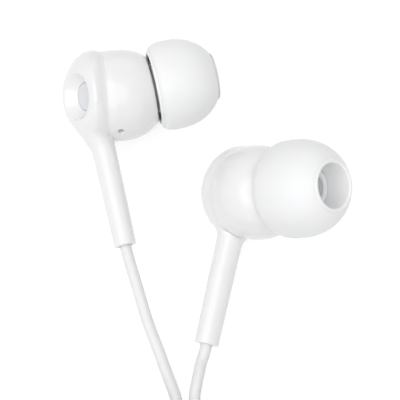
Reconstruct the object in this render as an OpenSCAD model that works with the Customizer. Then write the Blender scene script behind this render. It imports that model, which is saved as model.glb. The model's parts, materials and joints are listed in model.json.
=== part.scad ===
// Wired in-ear earphones with a microphone on the cord splitter.
// Millimetres, +Z up. The set lies on a table at z = 0.
// Each earbud is drawn in its own frame: origin at the centre of the round
// housing, +Z along the nozzle, -Y along the stem. The housing's barrel, with
// the driver in it, is turned a little against the nozzle. The left earbud is
// the right one mirrored.

/* [Housing] */
// Radius of the round housing
housing_r = 6.2; // [6.1:0.05:6.4]
// Length of the front dome, from the housing's centre to its tip
dome_len = 6.25; // [6:0.05:6.6]
// Distance from the centre to the flat face that carries the nozzle
face_front = 4.7; // [4.5:0.05:4.85]
// Distance from the centre back to the parting line
parting_back = 1.9; // [1.8:0.05:2]
// Depth of the soft groove along the parting line
groove_depth = 0.12; // [0.08:0.02:0.24]
// Width of one flank of the groove
groove_flank = 1.2; // [0.8:0.1:1.5]
// Wall thickness of both shells
wall = 0.8; // [0.7:0.05:0.9]
// Distance from the centre back to the rear rim
rim_back = 6.55; // [6.4:0.05:6.7]
// Outer radius of the rear rim
rim_r = 3.6; // [3.45:0.05:3.75]
// How far the round back swells beyond a ball through rim and parting line
back_swell = 0.26; // [0.1:0.01:0.4]
// Sideways turn of the barrel against the nozzle
barrel_side = 5; // [2:0.5:7]
// Upward turn of the barrel against the nozzle
barrel_up = 6.6; // [5:0.1:8]
// Sideways bend between the nozzle and the rear axis
bend_side = 32.6; // [30:0.2:35]
// Upward bend between the nozzle and the rear axis
bend_up = -1.5; // [-3:0.5:1]
// Radius of the vent hole under the housing
vent_r = 0.42; // [0.3:0.02:0.5]

/* [Rear recess] */
// Radius of the cone's mouth
recess_r = 3.05; // [2.8:0.05:3.15]
// Depth of the cone
recess_depth = 1.3; // [1:0.05:1.4]
// Radius of the disc at the bottom of the cone
disc_r = 1.85; // [1.6:0.05:2]
// Thickness of the disc
disc_t = 0.45; // [0.3:0.05:0.6]

/* [Nozzle] */
// Outer radius of the nozzle
nozzle_r = 2.35; // [2.25:0.05:2.45]
// Radius of the bead at the nozzle's end
bead_r = 2.57; // [2.5:0.01:2.6]
// Radius of the sound bore
sound_r = 1.6; // [1.3:0.05:1.7]
// Distance from the housing's centre to the nozzle's end
nozzle_front = 10.3; // [9.8:0.1:10.8]

/* [Ear tip] */
// Largest radius of the ear tip
tip_r = 6.1; // [6:0.05:6.5]
// Clearance between the bead and the tip's bore
tip_gap = 0.05; // [0.03:0.01:0.08]
// Wall of the soft skirt
skirt_t = 0.55; // [0.45:0.05:0.65]
// Wall of the tip's inner tube
tube_t = 0.7; // [0.6:0.05:0.9]
// Length of the tip's rounded rear part
skirt_back = 2.64; // [2.4:0.02:2.8]
// Length of the tip's rounded front part
skirt_front = 6.6; // [6.2:0.05:7]
// Gap between the housing's face and the tip
tip_seat = 0.25; // [0.2:0.05:0.5]
// Radius of the opening at the tip's front
mouth_r = 2.66; // [2.6:0.02:2.8]

/* [Stem] */
// Radius of the stem below the housing
stem_top_r = 1.8; // [1.75:0.05:1.9]
// Radius of the stem at its end
stem_end_r = 1.56; // [1.5:0.02:1.7]
// Distance from the housing's centre down to the stem's end
stem_len = 20.4; // [18:0.1:23]
// Radius of the stem's bore
stem_bore_r = 1.02; // [0.98:0.02:1.1]
// Distance from the stem's axis back from the housing's centre
stem_back = 3.5; // [3.4:0.05:3.7]
// Distance from the stem's axis sideways from the housing's centre
stem_side = 0.2; // [0:0.1:0.5]
// How deep the bush sits inside the stem's end
bush_deep = 1.5; // [1:0.1:2]
// Length of the bush
bush_len = 3; // [2:0.1:4]
// Length of the crimped cord stop
stop_len = 1.7; // [1.5:0.1:1.8]
// Radius of the crimped cord stop
stop_r = 1.22; // [1.15:0.01:1.25]

/* [Driver] */
// Outer radius of the driver's frame
driver_r = 5; // [4.9:0.02:5.04]
// Depth of the driver
driver_len = 3; // [2.8:0.05:3.1]
// Wall of the driver's frame
frame_t = 0.4; // [0.35:0.05:0.5]
// Outer radius of the steel yoke
yoke_r = 3.3; // [3.2:0.05:3.4]
// Wall of the steel yoke
yoke_t = 0.5; // [0.45:0.02:0.55]
// Radius of the magnet
magnet_r = 2.15; // [2:0.05:2.2]
// Thickness of the magnet
magnet_t = 1.1; // [0.9:0.05:1.15]
// Thickness of the top plate
plate_t = 0.5; // [0.4:0.05:0.55]
// Thickness of the voice coil's winding
coil_t = 0.22; // [0.18:0.02:0.24]
// Height of the voice coil
coil_h = 1.2; // [1:0.05:1.25]
// Thickness of the diaphragm
film_t = 0.12; // [0.08:0.01:0.14]
// Thickness of the driver's perforated cap
cap_t = 0.25; // [0.2:0.01:0.3]
// Radius of the centre dome of the diaphragm
film_dome_r = 2.3; // [2.2:0.05:2.35]

/* [Splitter] */
// Length of the splitter
split_len = 24; // [22:0.5:28]
// Width of the splitter
split_w = 7.2; // [7:0.1:8]
// Height of the splitter
split_h = 5.4; // [5.2:0.1:6]
// Corner radius of the splitter
split_corner = 1.5; // [1.2:0.1:1.7]
// Wall of the splitter's shells
split_wall = 0.9; // [0.8:0.05:1]
// Length of the button
button_len = 8; // [7:0.5:9]
// Width of the button
button_w = 3.6; // [3.2:0.1:4]
// How far the button stands proud
button_proud = 0.45; // [0.4:0.05:0.6]
// Travel of the button
button_travel = 0.25; // [0.2:0.01:0.3]
// Clearance round the button
button_gap = 0.12; // [0.08:0.01:0.16]

/* [Cords] */
// Diameter of each earbud's lead
lead_d = 1.5; // [1.4:0.02:1.56]
// Diameter of the main cable
main_d = 2; // [1.9:0.02:2.1]

/* [Plug] */
// Radius of the contact pin
pin_r = 1.75; // [1.75:0.01:1.75]
// Length of the contact pin
pin_len = 14; // [14:0.1:15]
// Radius of the plug's body
plug_r = 3.1; // [3:0.05:3.3]
// Length of the plug's body
plug_len = 16; // [14:0.5:18]
// Length of the strain relief
relief_len = 9; // [8:0.5:11]

/* [Hidden] */
$fn = 64;
eps = 0.01;                 // overlap that keeps cuts clean
fit = 0.02;                 // clearance of pieces fitted and glued together
shell_white = [0.94, 0.94, 0.94];
tip_white = [0.90, 0.90, 0.90];
cord_white = [0.92, 0.92, 0.92];

// ---- Where the two earbuds lie -------------------------------------------
right_at = [-11.26, 12.86, 6.54];
right_turn = [117.31, 83.43, 131.16];
left_at = [7.31, -1.05, 6.97];
left_turn = [2.39, 39.5, -11.37];

function turn_x(p, a) = [p[0], p[1]*cos(a) - p[2]*sin(a), p[1]*sin(a) + p[2]*cos(a)];
function turn_y(p, a) = [p[0]*cos(a) + p[2]*sin(a), p[1], p[2]*cos(a) - p[0]*sin(a)];
function turn_z(p, a) = [p[0]*cos(a) - p[1]*sin(a), p[0]*sin(a) + p[1]*cos(a), p[2]];
function turned(p, a) = turn_z(turn_y(turn_x(p, a[0]), a[1]), a[2]);
function right_point(p) = right_at + turned(p, right_turn);
function left_point(p) = left_at + turned([-p[0], p[1], p[2]], left_turn);
module right_bud() translate(right_at) rotate(right_turn) children();
module left_bud() translate(left_at) rotate(left_turn) mirror([1, 0, 0]) children();
// The barrel's axis and the rear axis leave the housing's centre bent away from
// the nozzle's axis.
barrel_turn = [barrel_up, barrel_side, 0];
rear_turn = [bend_up, bend_side, 0];
module on_barrel() rotate(barrel_turn) children();
module on_rear_axis() rotate(rear_turn) children();
// The stem's axis: +Z of the children points up the stem, z = 0 at the centre.
module on_stem_axis() translate([-stem_side, 0, -stem_back]) rotate([-90, 0, 0]) children();

// ---- Housing -------------------------------------------------------------
dome_power = 2.3;           // how square the front dome's shoulder is
function groove(back) = back >= groove_flank ? 0
    : groove_depth*(1 + cos(180*back/groove_flank))/2;
function dome_r(z) = z <= 0 ? housing_r - groove(z + parting_back)
    : housing_r*pow(1 - pow(z/dome_len, dome_power), 1/dome_power);
// Both shells are lofts of rings. The front one's rings are square to the barrel
// behind, and turn until they are square to the nozzle at the face.
ring_sides = 40;
turn_start = 0.9;           // where the front rings start to turn, ahead of the centre
function front_turn(z) = let (u = max(0, (z - turn_start)/(face_front - turn_start)))
    barrel_turn*(1 - u*u*(3 - 2*u));
function front_ring(z, grow) = [for (k = [0:ring_sides - 1])
    let (a = 360*k/ring_sides, r = dome_r(z) + grow)
    turned([r*cos(a), r*sin(a), z], front_turn(z))];
dome_shares = [1, 0.96, 0.9, 0.82, 0.72, 0.6, 0.46, 0.3, 0.15, 0];
flank_shares = [1, 0.75, 0.5, 0.25];
front_stops = concat(dome_shares*face_front,
    [for (share = flank_shares) -parting_back + share*groove_flank]);
// Skin over rings of equal size, first ring in front, last ring behind.
module ring_skin(rings) {
    n = len(rings[0]);
    last = len(rings) - 1;
    polyhedron(
        points = [for (ring = rings) each ring],
        faces = concat(
            [[for (k = [0:n - 1]) n - 1 - k]],
            [for (i = [0:last - 1], k = [0:n - 1]) let (q = (k + 1) % n, a = i*n, b = a + n)
                each [[a + k, a + q, b + q], [a + k, b + q, b + k]]],
            [[for (k = [0:n - 1]) last*n + k]]));
}
module front_body(grow, back) ring_skin([for (z = concat(front_stops, [-parting_back - back]))
    front_ring(z, grow)]);

driver_back = -driver_len/2 + 0.1;      // the driver's rear face
driver_front = driver_back + driver_len;
bay_r = driver_r + 0.03;                // bore that holds the driver
bay_front = driver_front + cap_t + 0.03;
lip_r = bay_r + 0.52;                   // lip of the rear shell in the front shell
lip_len = 0.55;
lip_step = 0.03;
cavity_r = driver_r - 0.7;              // air space in front of the driver
cavity_front = face_front - 1.1;
mesh_t = 0.2;
mesh_r = sound_r + 0.35;
bead_len = 0.9;

module front_shell() color(shell_white) difference() {
    union() {
        front_body(0, 0);
        cylinder(r = nozzle_r, h = nozzle_front);
        translate([0, 0, nozzle_front - bead_len]) rotate_extrude() polygon([
            [0, 0], [nozzle_r, 0], [bead_r, 0.25], [bead_r, bead_len - 0.2],
            [bead_r - 0.2, bead_len], [0, bead_len]]);
    }
    on_barrel() translate([0, 0, -parting_back - eps]) {
        cylinder(r = bay_r, h = bay_front + parting_back + eps);
        cylinder(r = lip_r, h = lip_len + lip_step + eps);
    }
    cylinder(r = cavity_r, h = cavity_front);
    cylinder(r = sound_r, h = nozzle_front + 1);
    translate([0, 0, nozzle_front - mesh_t]) cylinder(r = mesh_r, h = 1);
    vent_cut();
}

// A straight hole through the wall, beside the stem.
vent_spot = [-2.2, -5.74, -0.3];
vent_heading = atan2(vent_spot[1], vent_spot[0]);
module vent_cut() on_barrel() translate([0, 0, vent_spot[2]]) rotate([0, 0, vent_heading])
    rotate([0, 90, 0]) translate([0, 0, bay_r - 0.2]) cylinder(r = vent_r, h = housing_r, $fn = 32);

module nozzle_mesh() color("silver") translate([0, 0, nozzle_front - mesh_t + fit])
    difference() {
        cylinder(r = mesh_r - fit, h = mesh_t - fit);
        for (x = [-1:1], y = [-1:1]) translate([x, y, -1]*0.95)
            translate([0, 0, -1]) cylinder(r = 0.3, h = 4, $fn = 24);
    }

// Each ring of the rear shell is a slice of a ball round the housing's centre,
// turned a little further on its way from the parting line to the rear rim.
ring_stops = [0, 0.04, 0.09, 0.15, 0.23, 0.33, 0.44, 0.56, 0.67, 0.77, 0.86, 0.93, 0.97, 1];
turn_power = 1.6;           // holds the first rings square to the barrel
ball_power = 1.5;           // how early the rings take the rear ball's size
loft_groove = 0.26;         // share of the loft that the groove takes
ball_front = norm([housing_r, parting_back]);
ball_rear = norm([rim_r, rim_back]);
function loft_depth(t) = parting_back + (rim_back - parting_back)*t;
function loft_ball(t) = ball_rear - (ball_rear - ball_front)*pow(1 - t, ball_power)
    + back_swell*sin(180*t);
function loft_r(t, inset) = sqrt(pow(loft_ball(t), 2) - pow(loft_depth(t), 2)) - inset
    - groove(groove_flank*t/loft_groove);
function loft_turn(t) = barrel_turn + (rear_turn - barrel_turn)*pow(t, turn_power);
function loft_ring(t, inset) = [for (k = [0:ring_sides - 1])
    let (a = 360*k/ring_sides, r = loft_r(t, inset))
    turned([r*cos(a), r*sin(a), -loft_depth(t)], loft_turn(t))];
loft_end = 0.77;            // the cavity stops here, in front of the rim
inner_stops = [for (t = ring_stops) if (t <= loft_end) t];
// The cavity starts a little ahead of the parting line, to cut it open.
cut_ahead = turned([0, 0, 0.3], barrel_turn);
module rear_cavity() {
    front = [for (p = loft_ring(0, wall)) p + cut_ahead];
    ring_skin(concat([front], [for (t = inner_stops) loft_ring(t, wall)]));
}
module rear_body() ring_skin([for (t = ring_stops) loft_ring(t, 0)]);

boss_r = recess_r + 0.65;
boss_len = recess_depth + disc_t + 0.65;
flare_low = 7.2;            // where the stem's flare ends, below the centre
flare_rim = 0.45;           // thickness of the flare at the rim
flare_r = 2.4;              // radius of the flare at the rim
flare_spot = [0.85, -1.2];  // middle of the flare at the rim, from the rear axis
stem_root = 3;              // where the stem ends inside the housing, below the centre
module stem_solid() on_stem_axis() translate([0, 0, -stem_len])
    cylinder(r1 = stem_end_r, r2 = stem_top_r, h = stem_len - stem_root);
module stem_flare() hull() {
    on_stem_axis() translate([0, 0, -flare_low])
        cylinder(r = stem_top_r - 0.08, h = 0.4, $fn = 32);
    on_rear_axis() translate([flare_spot[0], flare_spot[1], -rim_back + 0.06])
        cylinder(r = flare_r, h = flare_rim, $fn = 32);
}
// The front shell's room, which the stem and its flare stay out of.
module front_envelope() front_body(fit, eps);
stop_base = 7.75;           // shoulder that the cord stop rests on, below the centre
module rear_shell() color(shell_white) difference() {
    union() {
        difference() {
            union() {
                rear_body();
                difference() {
                    union() {
                        stem_solid();
                        stem_flare();
                    }
                    front_envelope();
                }
            }
            rear_cavity();
        }
        difference() {
            on_rear_axis() translate([0, 0, -rim_back + 0.2]) cylinder(r = boss_r, h = boss_len - 0.2);
            front_envelope();
        }
        on_barrel() translate([0, 0, -parting_back - 0.8]) difference() {
            cylinder(r = lip_r - fit, h = 0.8 + lip_len);
            translate([0, 0, -1]) cylinder(r = bay_r + 0.02, h = 4);
        }
    }
    on_rear_axis() translate([0, 0, -rim_back]) {
        translate([0, 0, -eps]) rotate_extrude() polygon([[0, 0], [recess_r, 0],
            [disc_r + fit, recess_depth + eps], [0, recess_depth + eps]]);
        cylinder(r = disc_r + fit, h = recess_depth + disc_t);
    }
    on_stem_axis() translate([0, 0, -stem_len - 1]) cylinder(r = stem_bore_r, h = stem_len - 4);
    on_stem_axis() translate([0, 0, -stop_base]) cylinder(r = stop_r + fit, h = 3);
}

module rear_disc() color("gainsboro") on_rear_axis()
    translate([0, 0, -rim_back + recess_depth]) rotate_extrude()
    polygon([[0, 0], [disc_r - 0.18, 0], [disc_r, 0.18], [disc_r, disc_t - fit], [0, disc_t - fit]]);

module stem_bush() color("whitesmoke") on_stem_axis()
    translate([0, 0, -stem_len + bush_deep]) difference() {
        cylinder(r = stem_bore_r - fit, h = bush_len);
        translate([0, 0, -1]) cylinder(r = lead_d/2 + fit, h = bush_len + 2);
    }

module cord_stop() color("silver") on_stem_axis() translate([0, 0, -stop_base + fit])
    difference() {
        cylinder(r = stop_r, h = stop_len);
        translate([0, 0, -1]) cylinder(r = lead_d/2 + fit, h = stop_len + 2);
    }

inner_cord_top = -stop_base + stop_len + 0.2;
module inner_cord() color(cord_white) on_stem_axis() translate([0, 0, -stem_len + bush_deep])
    cylinder(r = lead_d/2, h = inner_cord_top + stem_len - bush_deep);

// A thin rod from one point to another.
module rod(p, q, r) {
    d = q - p;
    translate(p) rotate([0, acos(d[2]/norm(d)), atan2(d[1], d[0])])
        cylinder(r = r, h = norm(d), $fn = 16);
}
wire_r = 0.16;
wire_knee = [-1.6, -4.2, -3.3];
wire_gap = 0.09;            // between a wire's end and what it comes from or goes to
wire_foot = turned([-1.9, -3.6, driver_back - wire_gap], barrel_turn);
module driver_wires() color("peru") for (side = [-0.3, 0.3]) {
    top = [-stem_side + side, inner_cord_top + wire_gap, -stem_back];
    shift = [side, 0, 0];
    rod(top, wire_knee + shift, wire_r);
    translate(wire_knee + shift) sphere(r = wire_r, $fn = 16);
    rod(wire_knee + shift, wire_foot + shift*2, wire_r);
}

// ---- Driver --------------------------------------------------------------
module driver_frame() color("dimgray") on_barrel() difference() {
    translate([0, 0, driver_back]) cylinder(r = driver_r, h = driver_len);
    translate([0, 0, driver_back + frame_t]) cylinder(r = driver_r - frame_t, h = driver_len);
    translate([0, 0, driver_back - 1]) cylinder(r = yoke_r + fit, h = 3);
}
yoke_h = driver_len - 0.95;
module driver_yoke() color("silver") on_barrel() difference() {
    translate([0, 0, driver_back]) cylinder(r = yoke_r, h = yoke_h);
    translate([0, 0, driver_back + yoke_t]) cylinder(r = yoke_r - yoke_t, h = yoke_h);
}
module driver_magnet() color("darkgray") on_barrel()
    translate([0, 0, driver_back + yoke_t]) cylinder(r = magnet_r, h = magnet_t);
module top_plate() color("silver") on_barrel()
    translate([0, 0, driver_back + yoke_t + magnet_t]) cylinder(r = magnet_r + 0.05, h = plate_t);
film_z = driver_front - 0.55;           // underside of the diaphragm at rest
coil_r = (magnet_r + 0.05 + yoke_r - yoke_t + coil_t)/2;
module voice_coil() color("peru") on_barrel() translate([0, 0, film_z - coil_h]) difference() {
    cylinder(r = coil_r, h = coil_h);
    translate([0, 0, -1]) cylinder(r = coil_r - coil_t, h = coil_h + 2);
}
film_r = driver_r - frame_t - 0.1;
film_rise = 0.14;
module diaphragm() color("lightyellow") on_barrel() translate([0, 0, film_z])
    rotate_extrude() polygon([
    [0, film_rise], [film_dome_r, 0], [film_dome_r + 0.4, 0], [film_r - 0.9, film_rise],
    [film_r, 0], [film_r, film_t], [film_r - 0.9, film_rise + film_t],
    [film_dome_r + 0.4, film_t], [film_dome_r, film_t], [0, film_rise + film_t]]);
module driver_cap() color("dimgray") on_barrel() translate([0, 0, driver_front]) difference() {
    cylinder(r = driver_r, h = cap_t);
    for (k = [0:5]) rotate([0, 0, 60*k]) translate([2.6, 0, -1]) cylinder(r = 0.55, h = 3, $fn = 24);
    translate([0, 0, -1]) cylinder(r = 0.55, h = 3, $fn = 24);
}

// ---- Ear tip -------------------------------------------------------------
tip_back = face_front + tip_seat;                   // rear edge of the skirt
belt = tip_back + skirt_back;                       // where the tip is widest
bore_r = bead_r + tip_gap;
back_power = 3.5;
back_drop = 0.95;           // how much narrower the skirt's rear edge is
front_power = 2.2;
mouth_turn = 0.3;           // radius of the lip round the mouth
function tip_back_r(d) = tip_r - back_drop*pow(d/skirt_back, back_power);
function tip_front_r(d) = tip_r*pow(1 - pow(d/skirt_front, front_power), 1/front_power);
// The dome ends where it meets the lip round the mouth.
lip_mid_r = mouth_r + mouth_turn;
tip_front_len = skirt_front*pow(1 - pow((lip_mid_r + 0.05)/tip_r, front_power), 1/front_power);
back_points = [for (k = [6:-1:1]) [tip_back_r(skirt_back*k/6), belt - skirt_back*k/6]];
front_points = [for (k = [0:14]) let (d = tip_front_len*sin(90*k/14))
    [tip_front_r(d), belt + d]];
lip_points = [for (k = [0:5]) [lip_mid_r + mouth_turn*cos(18 + 162*k/5)*0.9,
    belt + tip_front_len - 0.12 + mouth_turn*sin(18 + 162*k/5)]];
tube_r = bore_r + tube_t;
root_front = belt + tip_front_len - 1.6;            // where skirt and tube join
inner_front = [for (k = [9:-1:0]) let (d = (root_front - belt)*k/9)
    [max(tube_r + 0.3, tip_front_r(d) - skirt_t), belt + d]];
inner_back = [for (k = [1:6]) [tip_back_r(skirt_back*k/6) - skirt_t, belt - skirt_back*k/6]];
module ear_tip() color(tip_white) rotate_extrude() polygon(concat(
    back_points, front_points, lip_points,
    [[mouth_r, nozzle_front + 0.9], [bore_r, nozzle_front + 0.3], [bore_r, tip_back],
     [tube_r, tip_back], [tube_r, root_front]],
    inner_front, inner_back));

// ---- Cords ---------------------------------------------------------------
function unit(v) = v/norm(v);
function heading(p, i) = unit(p[min(i + 1, len(p) - 1)] - p[max(i - 1, 0)]);
function cord_ring(p, i, r, sides) =
    let (t = heading(p, i), s = unit(cross(t, [0, 0, 1])), u = cross(s, t))
    [for (k = [0:sides - 1]) let (a = 360*(k + 0.5)/sides) p[i] + r*(s*sin(a) - u*cos(a))];
module swept(route, d, sides)
    ring_skin([for (i = [0:len(route) - 1]) cord_ring(route, i, d/2, sides)]);

// Free stretches. The route's points are chosen by hand.
cord_sides = 8;
stem_mouth = -stem_len + bush_deep - fit;
function stem_spot(y) = [-stem_side, y, -stem_back];
right_start = [right_point(stem_spot(stem_mouth)), right_point(stem_spot(-stem_len - 1))];
left_start = [left_point(stem_spot(stem_mouth)), left_point(stem_spot(-stem_len - 1))];
pair_gap = 2;               // distance between the two leads at the splitter
pair_x = 0;                 // middle of the pair, in line with the splitter
coil_apart = 2.9;           // distance between the leads where they meet their coils
coil_y = -38;               // centre line of the two lead coils
lead_z = lead_d/2;          // height of a lead that lies on the table
right_route = [[-8.3, -12.9, 3.8], [-7, -17.1, 2.8], [-5.4, -21.2, 1.75], [-4.35, -24, 1.1],
    [-3.25, -26.8, 0.78], [-2.65, -29.2, lead_z], [-2, -31.8, lead_z], [-1.4, -34.3, lead_z]];
left_route = [[0.07, -22.7, 2.5], [-0.25, -24.1, 1.6], [-0.55, -25.5, 1], [-0.77, -27, 0.78],
    [-0.4, -29, lead_z], [0.4, -31.5, lead_z], [1.3, -34, lead_z]];

// A coil wound as one piled spiral: in and out again at a steady rate, a layer
// up in the half turn where it reverses. way is 1 or -1, angles in degrees.
coil_rings = 24;            // rings to a turn
coil_sides = 6;
function pile_layer(a, per) = let (n = round(a/per), off = a - n*per, h = 90)
    abs(off) < h && n > 0
        ? n - 0.5 + (3*pow((off + h)/(2*h), 2) - 2*pow((off + h)/(2*h), 3)) - 0.5
        : floor(a/per);
function pile_r(a, per, r_out, pitch) = let (phase = a/per, m = phase - 2*floor(phase/2))
    r_out - pitch*per/360*(m <= 1 ? m : 2 - m);
function pile(centre, r_out, pitch, d, start, sweep, layers, way) =
    let (per = sweep/layers, steps = round(sweep/360*coil_rings))
    [for (i = [0:steps]) let (a = sweep*i/steps, r = pile_r(a, per, r_out, pitch),
            lay = i == steps ? layers - 1 : pile_layer(a, per))
        [centre[0] + r*cos(start + way*a), centre[1] + r*sin(start + way*a),
         d/2 + pitch*lay]];
// Straight ends, one diameter long, square to what they meet.
function with_ends(p, d, head, tail) = concat([p[0] - head*d], p, [p[len(p) - 1] + tail*d]);
// Least gap between turns: points more than a half turn apart.
function least_gap(p, d) = min([for (i = [0:len(p) - 1]) let (far = i + coil_rings/2)
    if (far < len(p)) min([for (j = [far:len(p) - 1]) norm(p[i] - p[j])])]) - d;

lead_pitch = lead_d + 0.45;
lead_coil_r = 9;            // outer turn, at the cord's middle
lead_sweep = 6*360;
lead_layers = 4;
right_coil_at = [pair_x - coil_apart/2 - lead_coil_r, coil_y];
left_coil_at = [pair_x + coil_apart/2 + lead_coil_r, coil_y];
south = [0, -1, 0];
right_pile = with_ends(pile(right_coil_at, lead_coil_r, lead_pitch, lead_d, 0, lead_sweep,
    lead_layers, -1), lead_d, south, south);
left_pile = with_ends(pile(left_coil_at, lead_coil_r, lead_pitch, lead_d, 180, lead_sweep,
    lead_layers, 1), lead_d, south, south);

split_y = -52;              // face where the leads go in
split_z = split_h/2;
split_back_y = split_y - split_len;
main_pitch = main_d + 0.45;
main_coil_r = 14.4;
coil_clear = 5.6;           // free space between the splitter and the coil
main_coil_at = [3.2, split_back_y - coil_clear - main_coil_r - main_d/2];
main_start = 60;
main_sweep = 12*360 - 120;
main_layers = 4;
main_end = main_start - main_sweep;
main_in = [sin(main_start), -cos(main_start), 0];
main_out = [sin(main_end), -cos(main_end), 0];
main_pile = with_ends(pile(main_coil_at, main_coil_r, main_pitch, main_d, main_start,
    main_sweep, main_layers, -1), main_d, main_in, main_out);
// From the splitter to the coil, and from the coil to the plug beside it.
main_route = [for (p = [[0.3, -2.2, 2.1], [1.5, -3.9, 1.5], [3.6, -5.1, 1.1]])
    [pair_x + p[0], split_back_y + p[1], p[2]]];
// The plug lies beside the coil and points away from the earbuds.
plug_clear = 1.2;
plug_ahead = 24.6;          // how far the strain relief's end is ahead of the coil's centre
plug_at = [main_coil_at[0] - main_coil_r - main_d/2 - plug_clear - plug_r,
    main_coil_at[1] + plug_ahead, plug_r];
// The cable turns back on a half circle before it enters the plug.
end_turn_r = 4;
end_turn = [plug_at[0] + end_turn_r, plug_at[1] + 5.1];
end_route = concat([for (p = [[0.1, 7, 8], [0.3, 11, 6.5], [0.8, 15.5, 4.2], [1.5, 20, 2.3],
        [2.2, 24, 1.3]]) [main_coil_at[0] - main_coil_r + p[0], main_coil_at[1] + p[1], p[2]]],
    [for (a = [-20, 0, 45, 90, 135, 180]) [end_turn[0] + end_turn_r*cos(a),
        end_turn[1] + end_turn_r*sin(a), main_d/2 + max(0, a - 90)/90*0.8]],
    [plug_at + [0, 2.6, -0.4]]);

// Each stretch runs straight for a little before it meets a coil, a hole or the plug.
straight = 1.5;
in_hole = 0.8;              // how deep a cord goes into the splitter
module lead(start, route, pile) color(cord_white)
    swept(concat(start, route, [pile[0] - straight*south, pile[0]]), lead_d, cord_sides);
module right_lead() lead(right_start, right_route, right_pile);
module left_lead() lead(left_start, left_route, left_pile);
module lead_end(pile) let (from = pile[len(pile) - 1], down = split_z - from[2],
        in = [pair_x + sign(from[0] - pair_x)*pair_gap/2, split_y, split_z])
    color(cord_white) swept(concat([from, from + straight*south],
        [for (p = [[4, 0.2], [7.2, 0.72]]) from + p[0]*south + [0, 0, p[1]*down]],
        [in - 2.2*south, in, in + in_hole*south]), lead_d, cord_sides);
module right_lead_coil() color(cord_white) swept(right_pile, lead_d, coil_sides);
module left_lead_coil() color(cord_white) swept(left_pile, lead_d, coil_sides);
module main_cable() let (out = [pair_x, split_back_y, split_z])
    color(cord_white) swept(concat([out - in_hole*south, out], main_route,
        [main_pile[0] - straight*main_in, main_pile[0]]), main_d, cord_sides);
module main_coil() color(cord_white) swept(main_pile, main_d, coil_sides);
module main_cable_end() let (out = main_pile[len(main_pile) - 1])
    color(cord_white) swept(concat([out, out + straight*main_out], end_route,
        [plug_at - straight*south, plug_at]), main_d, cord_sides);
echo(lead_coil_gap = least_gap(right_pile, lead_d), main_coil_gap = least_gap(main_pile, main_d));

// ---- Splitter with microphone and button ---------------------------------
split_mid = split_y - split_len/2;
split_seam = split_h*0.5;
module split_outline(inset) translate([pair_x, split_mid]) {
    w = split_w - 2*inset;
    l = split_len - 2*inset;
    c = split_corner - inset*0.6;
    square([w - 2*c, l], center = true);
    square([w, l - 2*c], center = true);
    for (x = [-1, 1], y = [-1, 1]) translate([x*(w/2 - c), y*(l/2 - c)]) circle(r = c, $fn = 32);
}
module split_holes() {
    for (x = [-1, 1]) translate([pair_x + x*pair_gap/2, split_y + 1, split_z])
        rotate([90, 0, 0]) cylinder(r = lead_d/2 + 0.06, h = split_wall + 2, $fn = 32);
    translate([pair_x, split_back_y - 1, split_z]) rotate([-90, 0, 0])
        cylinder(r = main_d/2 + 0.06, h = split_wall + 2, $fn = 32);
}
module split_half(low, high) difference() {
    translate([0, 0, low]) linear_extrude(high - low) split_outline(0);
    translate([0, 0, split_wall]) linear_extrude(split_h - 2*split_wall) split_outline(split_wall);
    split_holes();
}
button_y = split_mid + 1.5;
mic_behind = 6.5;           // how far the microphone is behind the splitter's middle
mic_y = split_mid - mic_behind;
module button_outline(grow) translate([pair_x, button_y]) {
    w = button_w + 2*grow;
    square([w, button_len - button_w], center = true);
    for (y = [-1, 1]) translate([0, y*(button_len - button_w)/2]) circle(r = w/2, $fn = 40);
}
module splitter_back_shell() color(shell_white) split_half(0, split_seam);
module splitter_front_shell() color(shell_white) difference() {
    split_half(split_seam, split_h);
    translate([0, 0, split_seam]) linear_extrude(split_h) button_outline(button_gap);
    translate([pair_x, mic_y, split_seam]) cylinder(r = 0.35, h = split_h, $fn = 24);
}
board_t = 0.6;
board_z = split_wall + 0.7;
board_l = 16;
board_w = split_w - 2*split_wall - 0.6;
switch_h = 1.1;
skirt_gap = 0.12;
button_foot = split_h - split_wall - skirt_gap - 0.5;
module control_button() color(shell_white) {
    translate([0, 0, button_foot]) linear_extrude(split_h + button_proud - button_foot)
        button_outline(0);
    translate([0, 0, button_foot]) linear_extrude(0.5) button_outline(0.5);
    translate([pair_x, button_y, board_z + board_t + switch_h + 0.02 + button_travel])
        cylinder(r = 0.7, h = button_foot - (board_z + board_t + switch_h + button_travel), $fn = 32);
}
board_post = board_z - split_wall;
module control_board() color("seagreen") {
    translate([pair_x - board_w/2, split_mid - board_l/2, board_z]) cube([board_w, board_l, board_t]);
    for (y = [-1, 1]) translate([pair_x, split_mid + y*(board_l/2 - 1.5), split_wall])
        cylinder(r = 0.8, h = board_post + eps, $fn = 24);
}
module button_switch() color("gray") translate([pair_x, button_y, board_z + board_t]) {
    translate([-1.5, -1.5, 0]) cube([3, 3, switch_h - 0.3]);
    cylinder(r = 0.8, h = switch_h, $fn = 32);
}
module microphone() color("goldenrod") translate([pair_x, mic_y, board_z + board_t])
    cylinder(r = 1.5, h = split_h - split_wall - 0.05 - board_z - board_t, $fn = 40);

// ---- Plug ----------------------------------------------------------------
// Children are drawn along +Z, which points at the plug's tip.
module on_plug(along) translate([plug_at[0], plug_at[1] - along, plug_at[2]])
    rotate([90, 0, 0]) children();
relief_r = 1.5;
relief_ribs = 4;
module plug_relief() color(cord_white) on_plug(0) difference() {
    rotate_extrude() polygon([[0, 0], [relief_r, 0], [plug_r*0.75, relief_len], [0, relief_len]]);
    for (k = [1:relief_ribs]) translate([0, 0, relief_len*k/(relief_ribs + 1)])
        rotate_extrude() translate([plug_r, 0]) square([2*(plug_r - relief_r) - 0.9, 0.6], center = true);
}
module plug_body() color(shell_white) on_plug(relief_len) rotate_extrude() polygon([
    [0, 0], [plug_r*0.8, 0], [plug_r - 0.15, 0.8], [plug_r, 2], [plug_r, plug_len - 1.6],
    [plug_r - 0.3, plug_len - 0.6], [plug_r*0.75, plug_len], [0, plug_len]]);
band = 0.6;                 // width of each insulating band
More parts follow.
